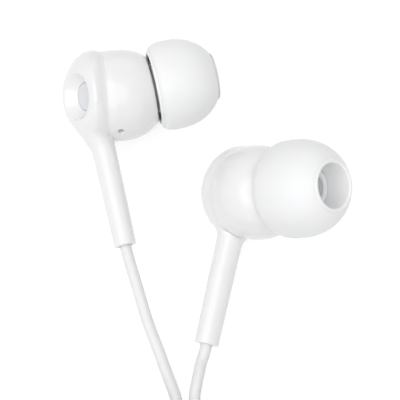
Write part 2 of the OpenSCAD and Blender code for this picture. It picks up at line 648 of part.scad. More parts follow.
sleeve_len = 4.9;
ring_len = 2.1;
core_r = 1.1;
pin_hole_r = 0.55;
tip_at = sleeve_len + 2*ring_len + 3*band;      // where the tip contact starts
module pin_tube(low, high, r_in) translate([0, 0, low]) difference() {
    cylinder(r = pin_r, h = high - low);
    translate([0, 0, -1]) cylinder(r = r_in, h = high - low + 2);
}
module on_pin() on_plug(relief_len + plug_len) children();
module plug_sleeve() color("gold") on_pin() {
    pin_tube(0, sleeve_len, core_r + fit);
    difference() {
        cylinder(r = plug_r*0.75 - 0.1, h = 0.5);
        translate([0, 0, -1]) cylinder(r = core_r + fit, h = 3);
    }
}
module plug_rings() color("gold") on_pin() for (k = [1, 2])
    let (low = sleeve_len + band*k + ring_len*(k - 1)) pin_tube(low, low + ring_len, core_r + fit);
module plug_insulators() color("black") on_pin() {
    difference() {
        cylinder(r = core_r, h = tip_at);
        translate([0, 0, -1]) cylinder(r = pin_hole_r + fit, h = tip_at + 2);
    }
    for (k = [0, 1, 2]) let (low = sleeve_len + (band + ring_len)*k)
        pin_tube(low, low + band, core_r - eps);
}
module plug_tip() color("gold") on_pin() {
    cylinder(r = pin_hole_r, h = tip_at + eps);
    translate([0, 0, tip_at]) rotate_extrude() polygon([[0, 0], [pin_r, 0], [pin_r, 0.5],
        [pin_r - 0.5, 1.1], [pin_r - 0.55, 1.3], [pin_r - 0.05, 2], [pin_r - 0.2, 2.3],
        [0.5, pin_len - tip_at], [0, pin_len - tip_at]]);
}

right_bud() ear_tip();  // right_ear_tip
right_bud() nozzle_mesh();  // right_nozzle_mesh
right_bud() front_shell();  // right_front_shell
right_bud() rear_shell();  // right_rear_shell
right_bud() rear_disc();  // right_rear_disc
right_bud() stem_bush();  // right_stem_bush
right_bud() cord_stop();  // right_cord_stop
right_bud() inner_cord();  // right_inner_cord
right_bud() driver_wires();  // right_driver_wires
right_bud() driver_frame();  // right_driver_frame
right_bud() driver_yoke();  // right_driver_yoke
right_bud() driver_magnet();  // right_driver_magnet
right_bud() top_plate();  // right_top_plate
right_bud() voice_coil();  // right_voice_coil
right_bud() diaphragm();  // right_diaphragm
right_bud() driver_cap();  // right_driver_cap
left_bud() ear_tip();  // left_ear_tip
left_bud() nozzle_mesh();  // left_nozzle_mesh
left_bud() front_shell();  // left_front_shell
left_bud() rear_shell();  // left_rear_shell
left_bud() rear_disc();  // left_rear_disc
left_bud() stem_bush();  // left_stem_bush
left_bud() cord_stop();  // left_cord_stop
left_bud() inner_cord();  // left_inner_cord
left_bud() driver_wires();  // left_driver_wires
left_bud() driver_frame();  // left_driver_frame
left_bud() driver_yoke();  // left_driver_yoke
left_bud() driver_magnet();  // left_driver_magnet
left_bud() top_plate();  // left_top_plate
left_bud() voice_coil();  // left_voice_coil
left_bud() diaphragm();  // left_diaphragm
left_bud() driver_cap();  // left_driver_cap
right_lead();
right_lead_coil();
lead_end(right_pile);  // right_lead_end
left_lead();
left_lead_coil();
lead_end(left_pile);  // left_lead_end
splitter_front_shell();
splitter_back_shell();
control_button();
control_board();
button_switch();
microphone();
main_cable();
main_coil();
main_cable_end();
plug_relief();
plug_body();
plug_sleeve();
plug_rings();
plug_tip();
plug_insulators();
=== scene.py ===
# %% [markdown]
# # White in-ear earphones
# These earphones lie on a pale table: two round glossy housings with long
# stems, soft domed tips, and thin cords that run to a small remote and on to
# a plug. The solid model is loaded as a fixed frame in metres. Every shape
# below is modelled in millimetres, where Blender's mesh tools have more room
# for rounding, and is scaled down when it is put in its place.

# %% Load the frame
import bpy
import json
import math
from mathutils import Matrix, Vector

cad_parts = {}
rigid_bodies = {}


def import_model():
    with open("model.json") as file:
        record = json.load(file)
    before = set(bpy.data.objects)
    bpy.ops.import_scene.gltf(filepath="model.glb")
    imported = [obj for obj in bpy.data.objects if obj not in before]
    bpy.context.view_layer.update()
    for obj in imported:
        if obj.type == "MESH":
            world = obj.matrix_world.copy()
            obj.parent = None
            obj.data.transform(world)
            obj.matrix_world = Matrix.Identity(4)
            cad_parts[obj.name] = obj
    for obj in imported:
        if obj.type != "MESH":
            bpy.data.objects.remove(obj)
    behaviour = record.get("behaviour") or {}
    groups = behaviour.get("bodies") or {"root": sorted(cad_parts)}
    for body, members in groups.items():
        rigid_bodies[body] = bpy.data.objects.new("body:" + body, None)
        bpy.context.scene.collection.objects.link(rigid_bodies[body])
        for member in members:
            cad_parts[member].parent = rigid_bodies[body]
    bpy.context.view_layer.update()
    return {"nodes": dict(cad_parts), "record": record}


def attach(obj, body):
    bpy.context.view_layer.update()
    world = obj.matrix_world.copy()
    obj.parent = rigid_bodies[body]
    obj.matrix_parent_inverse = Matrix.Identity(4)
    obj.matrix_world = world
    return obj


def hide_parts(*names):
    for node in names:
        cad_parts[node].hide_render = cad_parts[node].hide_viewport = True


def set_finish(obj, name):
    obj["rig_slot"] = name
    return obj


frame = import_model()
nodes = frame["nodes"]
MM = 0.001
HAIR = 0.02    # a gap or an overlap that is too small to see
BEYOND = 1     # how far a cutter stands out of what it cuts
print("frame loaded with", len(nodes), "nodes")

# %% [markdown]
# ## Camera
# The set is seen from above and a little from the front, as on a shop's page.
# A lens of medium length close to the table gives the slight widening of the
# nearer earbud. The camera looks down 74 degrees below the horizon.

# %% Camera
CAMERA_AT = (-0.06, -29.44, 102.42)
CAMERA_TILT = 16
FOCAL_PIXELS = 759.2
IMAGE_WIDTH = 400
SENSOR = 36
CLIP = (0.005, 10)

lens = bpy.data.cameras.new("camera")
lens.sensor_width = SENSOR
lens.lens = SENSOR * FOCAL_PIXELS / IMAGE_WIDTH
lens.clip_start, lens.clip_end = CLIP
camera = bpy.data.objects.new("camera", lens)
camera.location = Vector(CAMERA_AT) * MM
camera.rotation_euler = (math.radians(CAMERA_TILT), 0, 0)
bpy.context.scene.collection.objects.link(camera)
bpy.context.scene.camera = camera
print("focal length", round(lens.lens, 2), "mm")

# %% [markdown]
# ## Where the earbuds lie
# Each earbud has a frame of its own: the origin is the centre of the round
# housing, +Z runs along the nozzle and -Y along the stem. Two placements put
# that frame on the table. The left earbud is the right one mirrored. Two more
# directions matter: the barrel of the housing is turned a little against the
# nozzle, and the cone behind leans away from both.

# %% Placements of the two earbuds
RIGHT_AT, RIGHT_TURN = (-11.26, 12.86, 6.54), (117.31, 83.43, 131.16)
LEFT_AT, LEFT_TURN = (7.31, -1.05, 6.97), (2.39, 39.5, -11.37)
STEM_SIDE, STEM_BACK, STEM_LEN = 0.2, 3.5, 20.4


def turn(angles):
    """The turn about X, then Y, then Z."""
    x, y, z = (math.radians(a) for a in angles)
    return (Matrix.Rotation(z, 4, "Z") @ Matrix.Rotation(y, 4, "Y")
            @ Matrix.Rotation(x, 4, "X"))


BARREL_TURN, REAR_TURN = (6.6, 5, 0), (-1.5, 32.6, 0)
BARREL, REAR_AXIS = turn(BARREL_TURN), turn(REAR_TURN)
STEM_AXIS = (Matrix.Translation((-STEM_SIDE, 0, -STEM_BACK))
             @ Matrix.Rotation(math.radians(-90), 4, "X"))
RIGHT_PLACE = Matrix.Translation(RIGHT_AT) @ turn(RIGHT_TURN)
LEFT_PLACE = (Matrix.Translation(LEFT_AT) @ turn(LEFT_TURN)
              @ Matrix.Scale(-1, 4, (1, 0, 0)))
for side, place in (("right", RIGHT_PLACE), ("left", LEFT_PLACE)):
    stem_end = place @ Vector((-STEM_SIDE, -STEM_LEN, -STEM_BACK))
    print(side, "stem ends at", [round(v, 2) for v in stem_end])

# %% [markdown]
# ## Ways of the cords
# A thin cord leaves each stem, curves over the table and goes on out of the
# camera's sight, where its length is wound up in a neat coil. The two leads
# meet in the remote. One thicker cable goes on from it, is coiled too, and
# ends in the plug. Each way is given by a few points that the middle of the
# cord runs through, and by the place and size of its coil.

# %% Ways of the cords
LEAD_D, MAIN_D = 1.5, 2.0
LEAD_Z = LEAD_D / 2
RIGHT_ROUTE = [(-8.3, -12.9, 3.8), (-7, -17.1, 2.8), (-5.4, -21.2, 1.75), (-4.35, -24, 1.1),
               (-3.25, -26.8, 0.78), (-2.65, -29.2, LEAD_Z), (-2, -31.8, LEAD_Z),
               (-1.4, -34.3, LEAD_Z)]
LEFT_ROUTE = [(0.07, -22.7, 2.5), (-0.25, -24.1, 1.6), (-0.55, -25.5, 1), (-0.77, -27, 0.78),
              (-0.4, -29, LEAD_Z), (0.4, -31.5, LEAD_Z), (1.3, -34, LEAD_Z)]
LEAD_COIL_R, LEAD_COIL_Y, COIL_APART = 9, -38, 2.9
LEAD_TURNS, LEAD_LAYERS = 6, 4
PAIR_X, PAIR_GAP = 0, 2
SPLIT_Y, SPLIT_LEN, SPLIT_W, SPLIT_H = -52, 24, 7.2, 5.4
SPLIT_Z = SPLIT_H / 2
SPLIT_BACK = SPLIT_Y - SPLIT_LEN
MAIN_ROUTE = [(0.3, -78.2, 2.1), (1.5, -79.9, 1.5), (3.6, -81.1, 1.1)]
MAIN_COIL_AT, MAIN_COIL_R = (3.2, -97), 14.4
MAIN_START, MAIN_SWEEP, MAIN_LAYERS = 60, 12 * 360 - 120, 4
PLUG_AT = (-16.5, -72.4, 3.1)
END_TURN, END_TURN_R, END_RISE = (-12.5, -67.3), 4, 0.8
END_ROUTE = [(-11.1, -90, 8), (-10.9, -86, 6.5), (-10.4, -81.5, 4.2), (-9.7, -77, 2.3),
             (-9, -73, 1.3)]
for bearing in (-20, 0, 45, 90, 135, 180):
    END_ROUTE.append((END_TURN[0] + END_TURN_R * math.cos(math.radians(bearing)),
                      END_TURN[1] + END_TURN_R * math.sin(math.radians(bearing)),
                      MAIN_D / 2 + max(0, bearing - 90) / 90 * END_RISE))
END_ROUTE.append((-16.5, -69.8, 2.7))
print("points on the ways:", len(RIGHT_ROUTE), len(LEFT_ROUTE), len(MAIN_ROUTE + END_ROUTE))

# %% [markdown]
# A coil comes from a formula: a spiral that runs in and out again, and climbs
# by one layer in the half turn where it reverses. The turns lie a little
# apart, so that no cord cuts into itself.

# %% Coils
COIL_GAP, TURN_STEPS, CLIMB = 0.45, 40, 180


def pile(centre, r_out, d, start, sweep, layers, way):
    """Points of a coil that is wound in and out again, layer on layer."""
    pitch = d + COIL_GAP
    per_layer = sweep / layers
    steps = round(sweep / 360 * TURN_STEPS)
    points = []
    for i in range(steps + 1):
        wound = sweep * i / steps
        nearest = round(wound / per_layer)
        off = wound - nearest * per_layer
        layer = math.floor(wound / per_layer)
        if abs(off) < CLIMB / 2 and nearest > 0:
            u = (off + CLIMB / 2) / CLIMB
            layer = nearest - 1 + 3 * u * u - 2 * u * u * u
        if i == steps:
            layer = layers - 1
        phase = wound / per_layer
        inward = phase - 2 * math.floor(phase / 2)
        r = r_out - pitch * per_layer / 360 * (inward if inward <= 1 else 2 - inward)
        a = math.radians(start + way * wound)
        points.append(Vector((centre[0] + r * math.cos(a), centre[1] + r * math.sin(a),
                              d / 2 + pitch * layer)))
    return points


def with_ends(points, d, head, tail):
    """Straight ends, one diameter long."""
    return [points[0] - Vector(head) * d] + points + [points[-1] + Vector(tail) * d]


def tangent(angle):
    """The way a coil runs that is wound clockwise, at an angle in degrees."""
    return Vector((math.sin(math.radians(angle)), -math.cos(math.radians(angle)), 0))


main_coil = with_ends(pile(MAIN_COIL_AT, MAIN_COIL_R, MAIN_D, MAIN_START, MAIN_SWEEP,
                           MAIN_LAYERS, -1),
                      MAIN_D, tangent(MAIN_START), tangent(MAIN_START - MAIN_SWEEP))
print("main coil:", len(main_coil), "points,", round(MAIN_SWEEP / 360, 2), "turns")

# %% [markdown]
# A few points make a jagged line. A cord bends evenly, so the line is eased: a
# Catmull-Rom curve runs through every point, with knots at the square roots
# of the distances, which keeps it free of loops. Where the eased line dips
# below the table it is lifted, so that the cord lies on it and not in it.

# %% Lines of the cords
SOUTH = Vector((0, -1, 0))
BUSH_DEEP, OUT_OF_STEM, STRAIGHT, IN_HOLE, HOLE_RUN = 1.5, 1, 1.5, 0.8, 2.2
LEAD_DESCENT = ((4, 0.2), (7.2, 0.72))    # distance from the coil, share of the way down
EASE_PARTS = 3


def eased(points, parts):
    """A smooth line through all the points, with more points between them."""
    p = [Vector(q) for q in points]
    p = [2 * p[0] - p[1]] + p + [2 * p[-1] - p[-2]]
    line = []
    for a, b, c, d in zip(p, p[1:], p[2:], p[3:]):
        t1 = (b - a).length ** 0.5
        t2 = t1 + (c - b).length ** 0.5
        t3 = t2 + (d - c).length ** 0.5
        for k in range(parts):
            t = t1 + (t2 - t1) * k / parts
            e = a.lerp(b, t / t1)
            f = b.lerp(c, (t - t1) / (t2 - t1))
            g = c.lerp(d, (t - t2) / (t3 - t2))
            h = e.lerp(f, t / t2)
            i = f.lerp(g, (t - t1) / (t3 - t1))
            line.append(h.lerp(i, (t - t1) / (t2 - t1)))
    return line + [p[-2]]


def laid(line, d):
    """The same line, nowhere lower than a cord that lies on the table."""
    return [Vector((q.x, q.y, max(q.z, d / 2))) for q in line]


def coil_between(before, coil, after):
    """A coil, with a straight stretch on its way in and out."""
    head, tail = (coil[1] - coil[0]).normalized(), (coil[-1] - coil[-2]).normalized()
    return before + [coil[0] - STRAIGHT * head] + coil + [coil[-1] + STRAIGHT * tail] + after


def lead_route(place, route, side, start):
    """One earbud's whole lead: stem, table, coil, remote."""
    mouth = [place @ Vector((-STEM_SIDE, y, -STEM_BACK))
             for y in (-STEM_LEN + BUSH_DEEP - HAIR, -STEM_LEN - OUT_OF_STEM)]
    centre = (PAIR_X + side * (COIL_APART / 2 + LEAD_COIL_R), LEAD_COIL_Y)
    coil = with_ends(pile(centre, LEAD_COIL_R, LEAD_D, start, LEAD_TURNS * 360, LEAD_LAYERS,
                          side), LEAD_D, SOUTH, SOUTH)
    out = coil[-1]
    down = Vector((0, 0, SPLIT_Z - out.z))
    hole = Vector((PAIR_X + side * PAIR_GAP / 2, SPLIT_Y, SPLIT_Z))
    return coil_between(mouth + [Vector(q) for q in route], coil,
                        [out + ahead * SOUTH + share * down for ahead, share in LEAD_DESCENT]
                        + [hole - HOLE_RUN * SOUTH, hole, hole + IN_HOLE * SOUTH])


def length(line):
    return sum((b - a).length for a, b in zip(line, line[1:]))


right_line = laid(eased(lead_route(RIGHT_PLACE, RIGHT_ROUTE, -1, 0), EASE_PARTS), LEAD_D)
left_line = laid(eased(lead_route(LEFT_PLACE, LEFT_ROUTE, 1, 180), EASE_PARTS), LEAD_D)
back_hole, plug_mouth = Vector((PAIR_X, SPLIT_BACK, SPLIT_Z)), Vector(PLUG_AT)
main_route = coil_between([back_hole - IN_HOLE * SOUTH, back_hole]
                          + [Vector(q) for q in MAIN_ROUTE], main_coil,
                          [Vector(q) for q in END_ROUTE]
                          + [plug_mouth - STRAIGHT * SOUTH, plug_mouth])
main_line = laid(eased(main_route, EASE_PARTS), MAIN_D)
print("cord lengths in mm:", [round(length(q)) for q in (right_line, left_line, main_line)])

# %% [markdown]
# ## Cords
# A curve with a round bevel is the natural way to draw a cord: its own line
# is the middle of the cord, and the bevel is the jacket, in one unbroken tube.
# The bevel is written in millimetres, and each point's radius brings it down
# to metres, because Blender adds that radius to the box round a curve.

# %% Cords


def cord(name, line, d):
    curve = bpy.data.curves.new(name, "CURVE")
    curve.dimensions = "3D"
    spline = curve.splines.new("POLY")
    spline.points.add(len(line) - 1)
    for point, q in zip(spline.points, line):
        point.co = (*(q * MM), 1)
        point.radius = MM
    spline.use_smooth = True
    curve.bevel_depth = d / 2
    curve.bevel_resolution = 5
    curve.use_fill_caps = True
    piece = bpy.data.objects.new(name, curve)
    bpy.context.scene.collection.objects.link(piece)
    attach(piece, "set")
    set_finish(piece, "cord_jacket")
    return piece


right_cord = cord("right_cord", right_line, LEAD_D)
left_cord = cord("left_cord", left_line, LEAD_D)
main_cord = cord("main_cord", main_line, MAIN_D)
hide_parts("right_lead", "right_lead_coil", "right_lead_end")
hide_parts("left_lead", "left_lead_coil", "left_lead_end")
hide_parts("main_cable", "main_coil", "main_cable_end")
print("cords made:", right_cord.name, left_cord.name, main_cord.name)

# %% [markdown]
# ## Tools for turned pieces
# Most of an earbud is round: the housing, the tip, the nozzle, the plug. On a
# lathe such a piece is one profile turned about an axis. Here a single vertex
# is extruded along the profile, and the line is spun round Z.

# %% Tools for turned pieces
MERGE = 0.001


def only(piece):
    """Selects one object, and makes it the active one."""
    bpy.ops.object.select_all(action="DESELECT")
    piece.select_set(True)
    bpy.context.view_layer.objects.active = piece


def join(piece, *others):
    """Makes several meshes one object, under the first one's name."""
    only(piece)
    for other in others:
        other.select_set(True)
    bpy.ops.object.join()


def clean(piece):
    """Merges what spinning or joining doubled, and points all faces out."""
    only(piece)
    bpy.ops.object.mode_set(mode="EDIT")
    bpy.ops.mesh.select_all(action="SELECT")
    bpy.ops.mesh.remove_doubles(threshold=MERGE)
    bpy.ops.mesh.normals_make_consistent(inside=False)
    bpy.ops.object.mode_set(mode="OBJECT")


def turned(name, profile, steps=128, ring=False):
    """Spins a profile of (radius, height) points. A ring's profile is closed."""
    bpy.ops.object.select_all(action="DESELECT")
    bpy.ops.mesh.primitive_plane_add(size=1, location=(0, 0, 0))
    piece = bpy.context.object
    piece.name = piece.data.name = name
    bpy.ops.object.mode_set(mode="EDIT")
    bpy.ops.mesh.select_mode(type="VERT")
    bpy.ops.mesh.select_all(action="SELECT")
    bpy.ops.mesh.merge(type="CENTER")
    points = list(profile) + ([profile[0]] if ring else [])
    bpy.ops.transform.translate(value=(points[0][0], 0, points[0][1]))
    for (r0, z0), (r1, z1) in zip(points, points[1:]):
        bpy.ops.mesh.extrude_vertices_move(
            TRANSFORM_OT_translate={"value": (r1 - r0, 0, z1 - z0)})
    bpy.ops.mesh.select_all(action="SELECT")
    bpy.ops.mesh.spin(steps=steps, angle=2 * math.pi, center=(0, 0, 0), axis=(0, 0, 1))
    bpy.ops.object.mode_set(mode="OBJECT")
    clean(piece)
    return piece


def rod(name, r, low, high, steps=128):
    """A plain cylinder from one height to another."""
    return turned(name, [(0, low), (r, low), (r, high), (0, high)], steps)


def arc(centre, r, start, stop, steps):
    """Points of a rounded corner in a profile, angles in degrees."""
    return [(centre[0] + r * math.cos(math.radians(start + (stop - start) * k / steps)),
             centre[1] + r * math.sin(math.radians(start + (stop - start) * k / steps)))
            for k in range(steps + 1)]


print("tools for turned pieces ready")

# %% [markdown]
# A piece is modelled where it is easy, put in its place by a matrix, and cut
# or fused with others by the Boolean modifier. Its Manifold solver is fast
# and sound on closed meshes, and every piece that is cut here is closed.

# %% Tools for placing and cutting


def moved(piece, matrix):
    """Puts the place into the mesh, so the object itself stays at the origin."""
    piece.data.transform(matrix)
    if matrix.determinant() < 0:
        piece.data.flip_normals()
    piece.data.update()
    return piece


def carve(piece, cutter, operation="DIFFERENCE"):
    """Cuts one closed mesh with another, or fuses the two."""
    only(piece)
    cut = piece.modifiers.new("cut", "BOOLEAN")
    cut.object, cut.operation, cut.solver = cutter, operation, "MANIFOLD"
    bpy.ops.object.modifier_apply(modifier=cut.name)
    bpy.data.objects.remove(cutter)


def round_hole(piece, place, r, rounding, deep, steps=48):
    """Cuts a blind hole with a softened mouth. place has +Z into the wall."""
    mouth_r = r + rounding
    drill = turned("drill", [(0, -BEYOND), (mouth_r, -BEYOND), (mouth_r, 0)]
                   + arc((mouth_r, rounding), rounding, 270, 180, 4)[1:]
                   + [(r, deep), (0, deep)], steps)
    moved(drill, place)
    carve(piece, drill)


def smooth_by_angle(piece, angle):
    only(piece)
    bpy.ops.object.shade_smooth_by_angle(angle=math.radians(angle))


def copied(piece, name):
    twin = piece.copy()
    twin.data = piece.data.copy()
    twin.name = twin.data.name = name
    bpy.context.scene.collection.objects.link(twin)
    return twin


print("tools for placing and cutting ready")

# %% [markdown]
# ## Tools for lofted pieces
# The two halves of the housing aren't round all the way: their rings turn from
# the nozzle's direction to the barrel's, and on to the cone's. A loft draws
# such a skin. A circle is extruded again and again, and each new ring is
# moved, scaled, and turned a little about the housing's centre.

# %% Tools for lofted pieces
RING = 128


def turn_ring(old, new):
    """Turns the selected ring about the centre, from one direction to another."""
    for axis, angle in (("Y", -old[1]), ("X", new[0] - old[0]), ("Y", new[1])):
        bpy.ops.transform.rotate(value=-math.radians(angle), orient_axis=axis,
                                 center_override=(0, 0, 0))


def loft(name, rings):
    """A closed skin over rings of (radius, height, turn), heights along each turn."""
    bpy.ops.object.select_all(action="DESELECT")
    r, z, way = rings[0]
    bpy.ops.mesh.primitive_circle_add(vertices=RING, radius=r, fill_type="NGON",
                                      location=(0, 0, z))
    piece = bpy.context.object
    piece.name = piece.data.name = name
    bpy.ops.object.transform_apply(location=True, rotation=True, scale=True)
    bpy.ops.object.mode_set(mode="EDIT")
    bpy.ops.mesh.select_mode(type="VERT")
    bpy.ops.mesh.select_all(action="SELECT")
    turn_ring((0, 0, 0), way)
    for new_r, new_z, new_way in rings[1:]:
        tilt = turn(way).to_3x3()
        bpy.ops.mesh.extrude_region_move(
            TRANSFORM_OT_translate={"value": tilt @ Vector((0, 0, new_z - z))})
        bpy.ops.transform.resize(value=(new_r / r,) * 3,
                                 center_override=tilt @ Vector((0, 0, new_z)))
        turn_ring(way, new_way)
        r, z, way = new_r, new_z, new_way
    bpy.ops.object.mode_set(mode="OBJECT")
    middle = sum([v.co for v in piece.data.vertices][-RING:], Vector()) / RING
    off = (middle - turn(way) @ Vector((0, 0, z))).length
    print(name, "last ring is off its place by", round(off, 4), "mm")
    clean(piece)
    return piece


def blend(start, stop, share):
    """A direction part of the way from one to another."""
    return tuple(a + (b - a) * share for a, b in zip(start, stop))


print("a loft's ring has", RING, "points")

# %% [markdown]
# ## Front shell
# The front half of the housing is a shallow dome with a soft shoulder. It
# ends behind in a faint waist, where it meets the rear half. The dome's curve
# is a superellipse, which is squarer than a circle, and a small rounded corner
# leads to the flat face.

# %% Dome of the front shell
HOUSING_R, DOME_LEN, DOME_POWER = 6.2, 6.25, 2.3
FACE_FRONT, PARTING_BACK, TURN_START = 4.7, 1.9, 0.9
GROOVE_DEPTH, GROOVE_FLANK, WALL = 0.12, 1.2, 0.8
EDGE, EDGE_DROP, EDGE_SLOPE = 0.3, 1.15, 0.55
EDGE_RINGS, DOME_RINGS, FACE_RINGS = 6, 44, (0.62, 0.97)
PARTING_CORNER = ((0, 0.05), (0.012, 0.012), (0.05, 0))
edge_z = FACE_FRONT - EDGE


def groove(back):
    if back >= GROOVE_FLANK:
        return 0
    return GROOVE_DEPTH * (1 + math.cos(math.pi * back / GROOVE_FLANK)) / 2


def dome_r(z):
    if z <= 0:
        return HOUSING_R - groove(z + PARTING_BACK)
    return HOUSING_R * (1 - (z / DOME_LEN) ** DOME_POWER) ** (1 / DOME_POWER)


def edge_r(z):
    """The rounded corner between the dome and the flat face."""
    corner = EDGE * EDGE_DROP * (1 - math.sqrt(1 - ((z - edge_z) / EDGE) ** 2))
    return dome_r(edge_z) - corner - (z - edge_z) * EDGE_SLOPE


def front_turn(z):
    u = max(0, (z - TURN_START) / (FACE_FRONT - TURN_START))
    return blend(BARREL_TURN, (0, 0, 0), u * u * (3 - 2 * u))


edge_rings = [(edge_r(z), z, front_turn(z)) for z in
              [edge_z + (k / EDGE_RINGS) * EDGE for k in range(EDGE_RINGS, 0, -1)]]
face_rings = [(edge_rings[0][0] * share, FACE_FRONT, (0, 0, 0)) for share in FACE_RINGS]
dome_rings = [(dome_r(z), z, front_turn(z)) for z in
              [edge_z - (edge_z + PARTING_BACK) * k / DOME_RINGS for k in range(DOME_RINGS)]]
corner_rings = [(dome_r(-PARTING_BACK) - inset, -PARTING_BACK + height, BARREL_TURN)
                for inset, height in PARTING_CORNER]
front_rings = face_rings + edge_rings + dome_rings + corner_rings
front = loft("right_front_shell_skin", front_rings)

# %% [markdown]
# The nozzle grows out of the flat face with a small fillet, and its bead holds
# the tip. The shell is hollow, as the moulding is: a wide bay for the driver, a
# narrower cavity, and the sound's way out through the nozzle, with a seat for
# the mesh.

# %% Nozzle, hollow and sound bore
NOZZLE_R, NOZZLE_FRONT, NOZZLE_FILLET = 2.35, 10.3, 0.25
BEAD_R, BEAD_START, BEAD_TOP, BEAD_ROUND = 2.57, 0.9, 0.65, 0.2
BAY_R, BAY_FRONT, CAVITY_R, CAVITY_FRONT = 5.03, 1.88, 4.3, 3.6
SOUND_R, SOUND_START, SEAT_DEEP, SEAT_WIDE, SEAT_MOUTH = 1.6, 1, 0.22, 0.35, 0.37

foot_r = NOZZLE_R + NOZZLE_FILLET
nozzle = turned("nozzle", [(0, CAVITY_FRONT), (foot_r, CAVITY_FRONT), (foot_r, FACE_FRONT)]
                + arc((foot_r, FACE_FRONT + NOZZLE_FILLET), NOZZLE_FILLET, 270, 180, 4)[1:]
                + [(NOZZLE_R, NOZZLE_FRONT - BEAD_START), (BEAD_R, NOZZLE_FRONT - BEAD_TOP)]
                + arc((BEAD_R - BEAD_ROUND, NOZZLE_FRONT - BEAD_ROUND), BEAD_ROUND, 0, 90, 4)
                + [(0, NOZZLE_FRONT)])
carve(front, nozzle, "UNION")
carve(front, moved(rod("bay", BAY_R, -PARTING_BACK - BEYOND, BAY_FRONT), BARREL))
carve(front, rod("cavity", CAVITY_R, 0, CAVITY_FRONT))
sound_bore = turned("sound_bore", [(0, SOUND_START), (SOUND_R, SOUND_START),
                                   (SOUND_R, NOZZLE_FRONT - SEAT_DEEP),
                                   (SOUND_R + SEAT_WIDE, NOZZLE_FRONT - SEAT_DEEP),
                                   (SOUND_R + SEAT_WIDE, NOZZLE_FRONT - HAIR),
                                   (SOUND_R + SEAT_MOUTH, NOZZLE_FRONT),
                                   (SOUND_R + SEAT_MOUTH, NOZZLE_FRONT + BEYOND),
                                   (0, NOZZLE_FRONT + BEYOND)])
carve(front, sound_bore)
print("nozzle and hollow:", len(front.data.polygons), "faces")

# %% [markdown]
# A small vent hole beside the stem lets air into the housing. It stands square
# to the dome's side, so its cutter is turned to the outward direction there.

# %% Vent
VENT_AT, VENT_R, VENT_LIP, VENT_DEEP = Vector((-2.2, -5.74, -0.3)), 0.42, 0.14, 2
SHELL_SHARP = 40

vent = turned("vent_cutter", [(0, -VENT_DEEP), (VENT_R, -VENT_DEEP), (VENT_R, -VENT_LIP)]
              + arc((VENT_R + VENT_LIP, -VENT_LIP), VENT_LIP, 180, 90, 4)
              + [(VENT_R + VENT_LIP, BEYOND), (0, BEYOND)], steps=48)
outward = Vector((VENT_AT.x, VENT_AT.y, 0)).normalized()
vent_place = outward * dome_r(VENT_AT.z)
vent_place.z = VENT_AT.z
moved(vent, BARREL @ Matrix.Translation(vent_place)
      @ outward.to_track_quat("Z", "Y").to_matrix().to_4x4())
carve(front, vent)
smooth_by_angle(front, SHELL_SHARP)
print("front shell:", len(front.data.polygons), "faces")

# %% [markdown]
# ## Rear shell and stem
# The rear half is a round back that leans away from the nozzle and flows
# down into the stem. It is a loft too. Its radius follows a ball that swells
# a little between the parting line and the rim of the cone.

# %% The round back, ring by ring
RIM_BACK, RIM_R, BACK_SWELL = 6.55, 3.6, 0.26
TURN_POWER, BALL_POWER, LOFT_GROOVE = 1.6, 1.5, 0.26
BALL_FRONT = math.hypot(HOUSING_R, PARTING_BACK)
BALL_REAR = math.hypot(RIM_R, RIM_BACK)
AHEAD = 0.5


def loft_depth(t):
    return PARTING_BACK + (RIM_BACK - PARTING_BACK) * t


def loft_r(t, inset):
    ball = (BALL_REAR - (BALL_REAR - BALL_FRONT) * (1 - t) ** BALL_POWER
            + BACK_SWELL * math.sin(math.pi * t))
    return (math.sqrt(ball ** 2 - loft_depth(t) ** 2) - inset
            - groove(GROOVE_FLANK * t / LOFT_GROOVE))


def back_loft(name, inset, stop, steps, ahead):
    """The round back, or its hollow, from a little ahead of the parting line."""
    return loft(name, [(loft_r(0, inset), -PARTING_BACK + ahead, BARREL_TURN)]
                + [(loft_r(t, inset), -loft_depth(t),
                    blend(BARREL_TURN, REAR_TURN, t ** TURN_POWER))
                   for t in [stop * k / steps for k in range(steps + 1)]])


back = back_loft("right_rear_shell_skin", 0, 1, 36, AHEAD)

# %% [markdown]
# The stem is turned and then made slightly oval: wider from side to side than
# from front to back. A stretched hull over two discs, one on the stem and one
# at the cone's rim, makes the flare between the stem and the back.

# %% Stem and flare
STEM_TOP_R, STEM_END_R, STEM_ROUND, STEM_ROOT = 1.8, 1.56, 0.16, 3
STEM_OVAL = Matrix.Diagonal((1.05, 0.93, 1, 1))
FLARE_LOW, FLARE_STEP, FLARE_DISC = 7.2, 0.08, 0.4
FLARE_AT, FLARE_R, FLARE_RIM, FLARE_INSIDE = (0.85, -1.2), 2.4, 0.45, 0.06

round_r = STEM_END_R - STEM_ROUND
stem = turned("stem", [(0, -STEM_LEN), (round_r, -STEM_LEN)]
              + arc((round_r, -STEM_LEN + STEM_ROUND), STEM_ROUND, 270, 360, 5)[1:]
              + [(STEM_TOP_R, -STEM_ROOT), (0, -STEM_ROOT)], steps=96)
moved(stem, STEM_AXIS @ STEM_OVAL)
bpy.ops.object.select_all(action="DESELECT")
bpy.ops.mesh.primitive_cylinder_add(vertices=96, radius=STEM_TOP_R - FLARE_STEP, depth=FLARE_DISC)
flare = bpy.context.object
moved(flare, STEM_AXIS @ Matrix.Translation((0, 0, -FLARE_LOW + FLARE_DISC / 2)) @ STEM_OVAL)
bpy.ops.mesh.primitive_cylinder_add(vertices=96, radius=FLARE_R, depth=FLARE_RIM)
rim_disc = bpy.context.object
moved(rim_disc, REAR_AXIS
      @ Matrix.Translation((*FLARE_AT, -RIM_BACK + FLARE_INSIDE + FLARE_RIM / 2)))
join(flare, rim_disc)
bpy.ops.object.mode_set(mode="EDIT")
bpy.ops.mesh.select_all(action="SELECT")
bpy.ops.mesh.convex_hull()
bpy.ops.object.mode_set(mode="OBJECT")
print("flare:", len(flare.data.polygons), "faces")

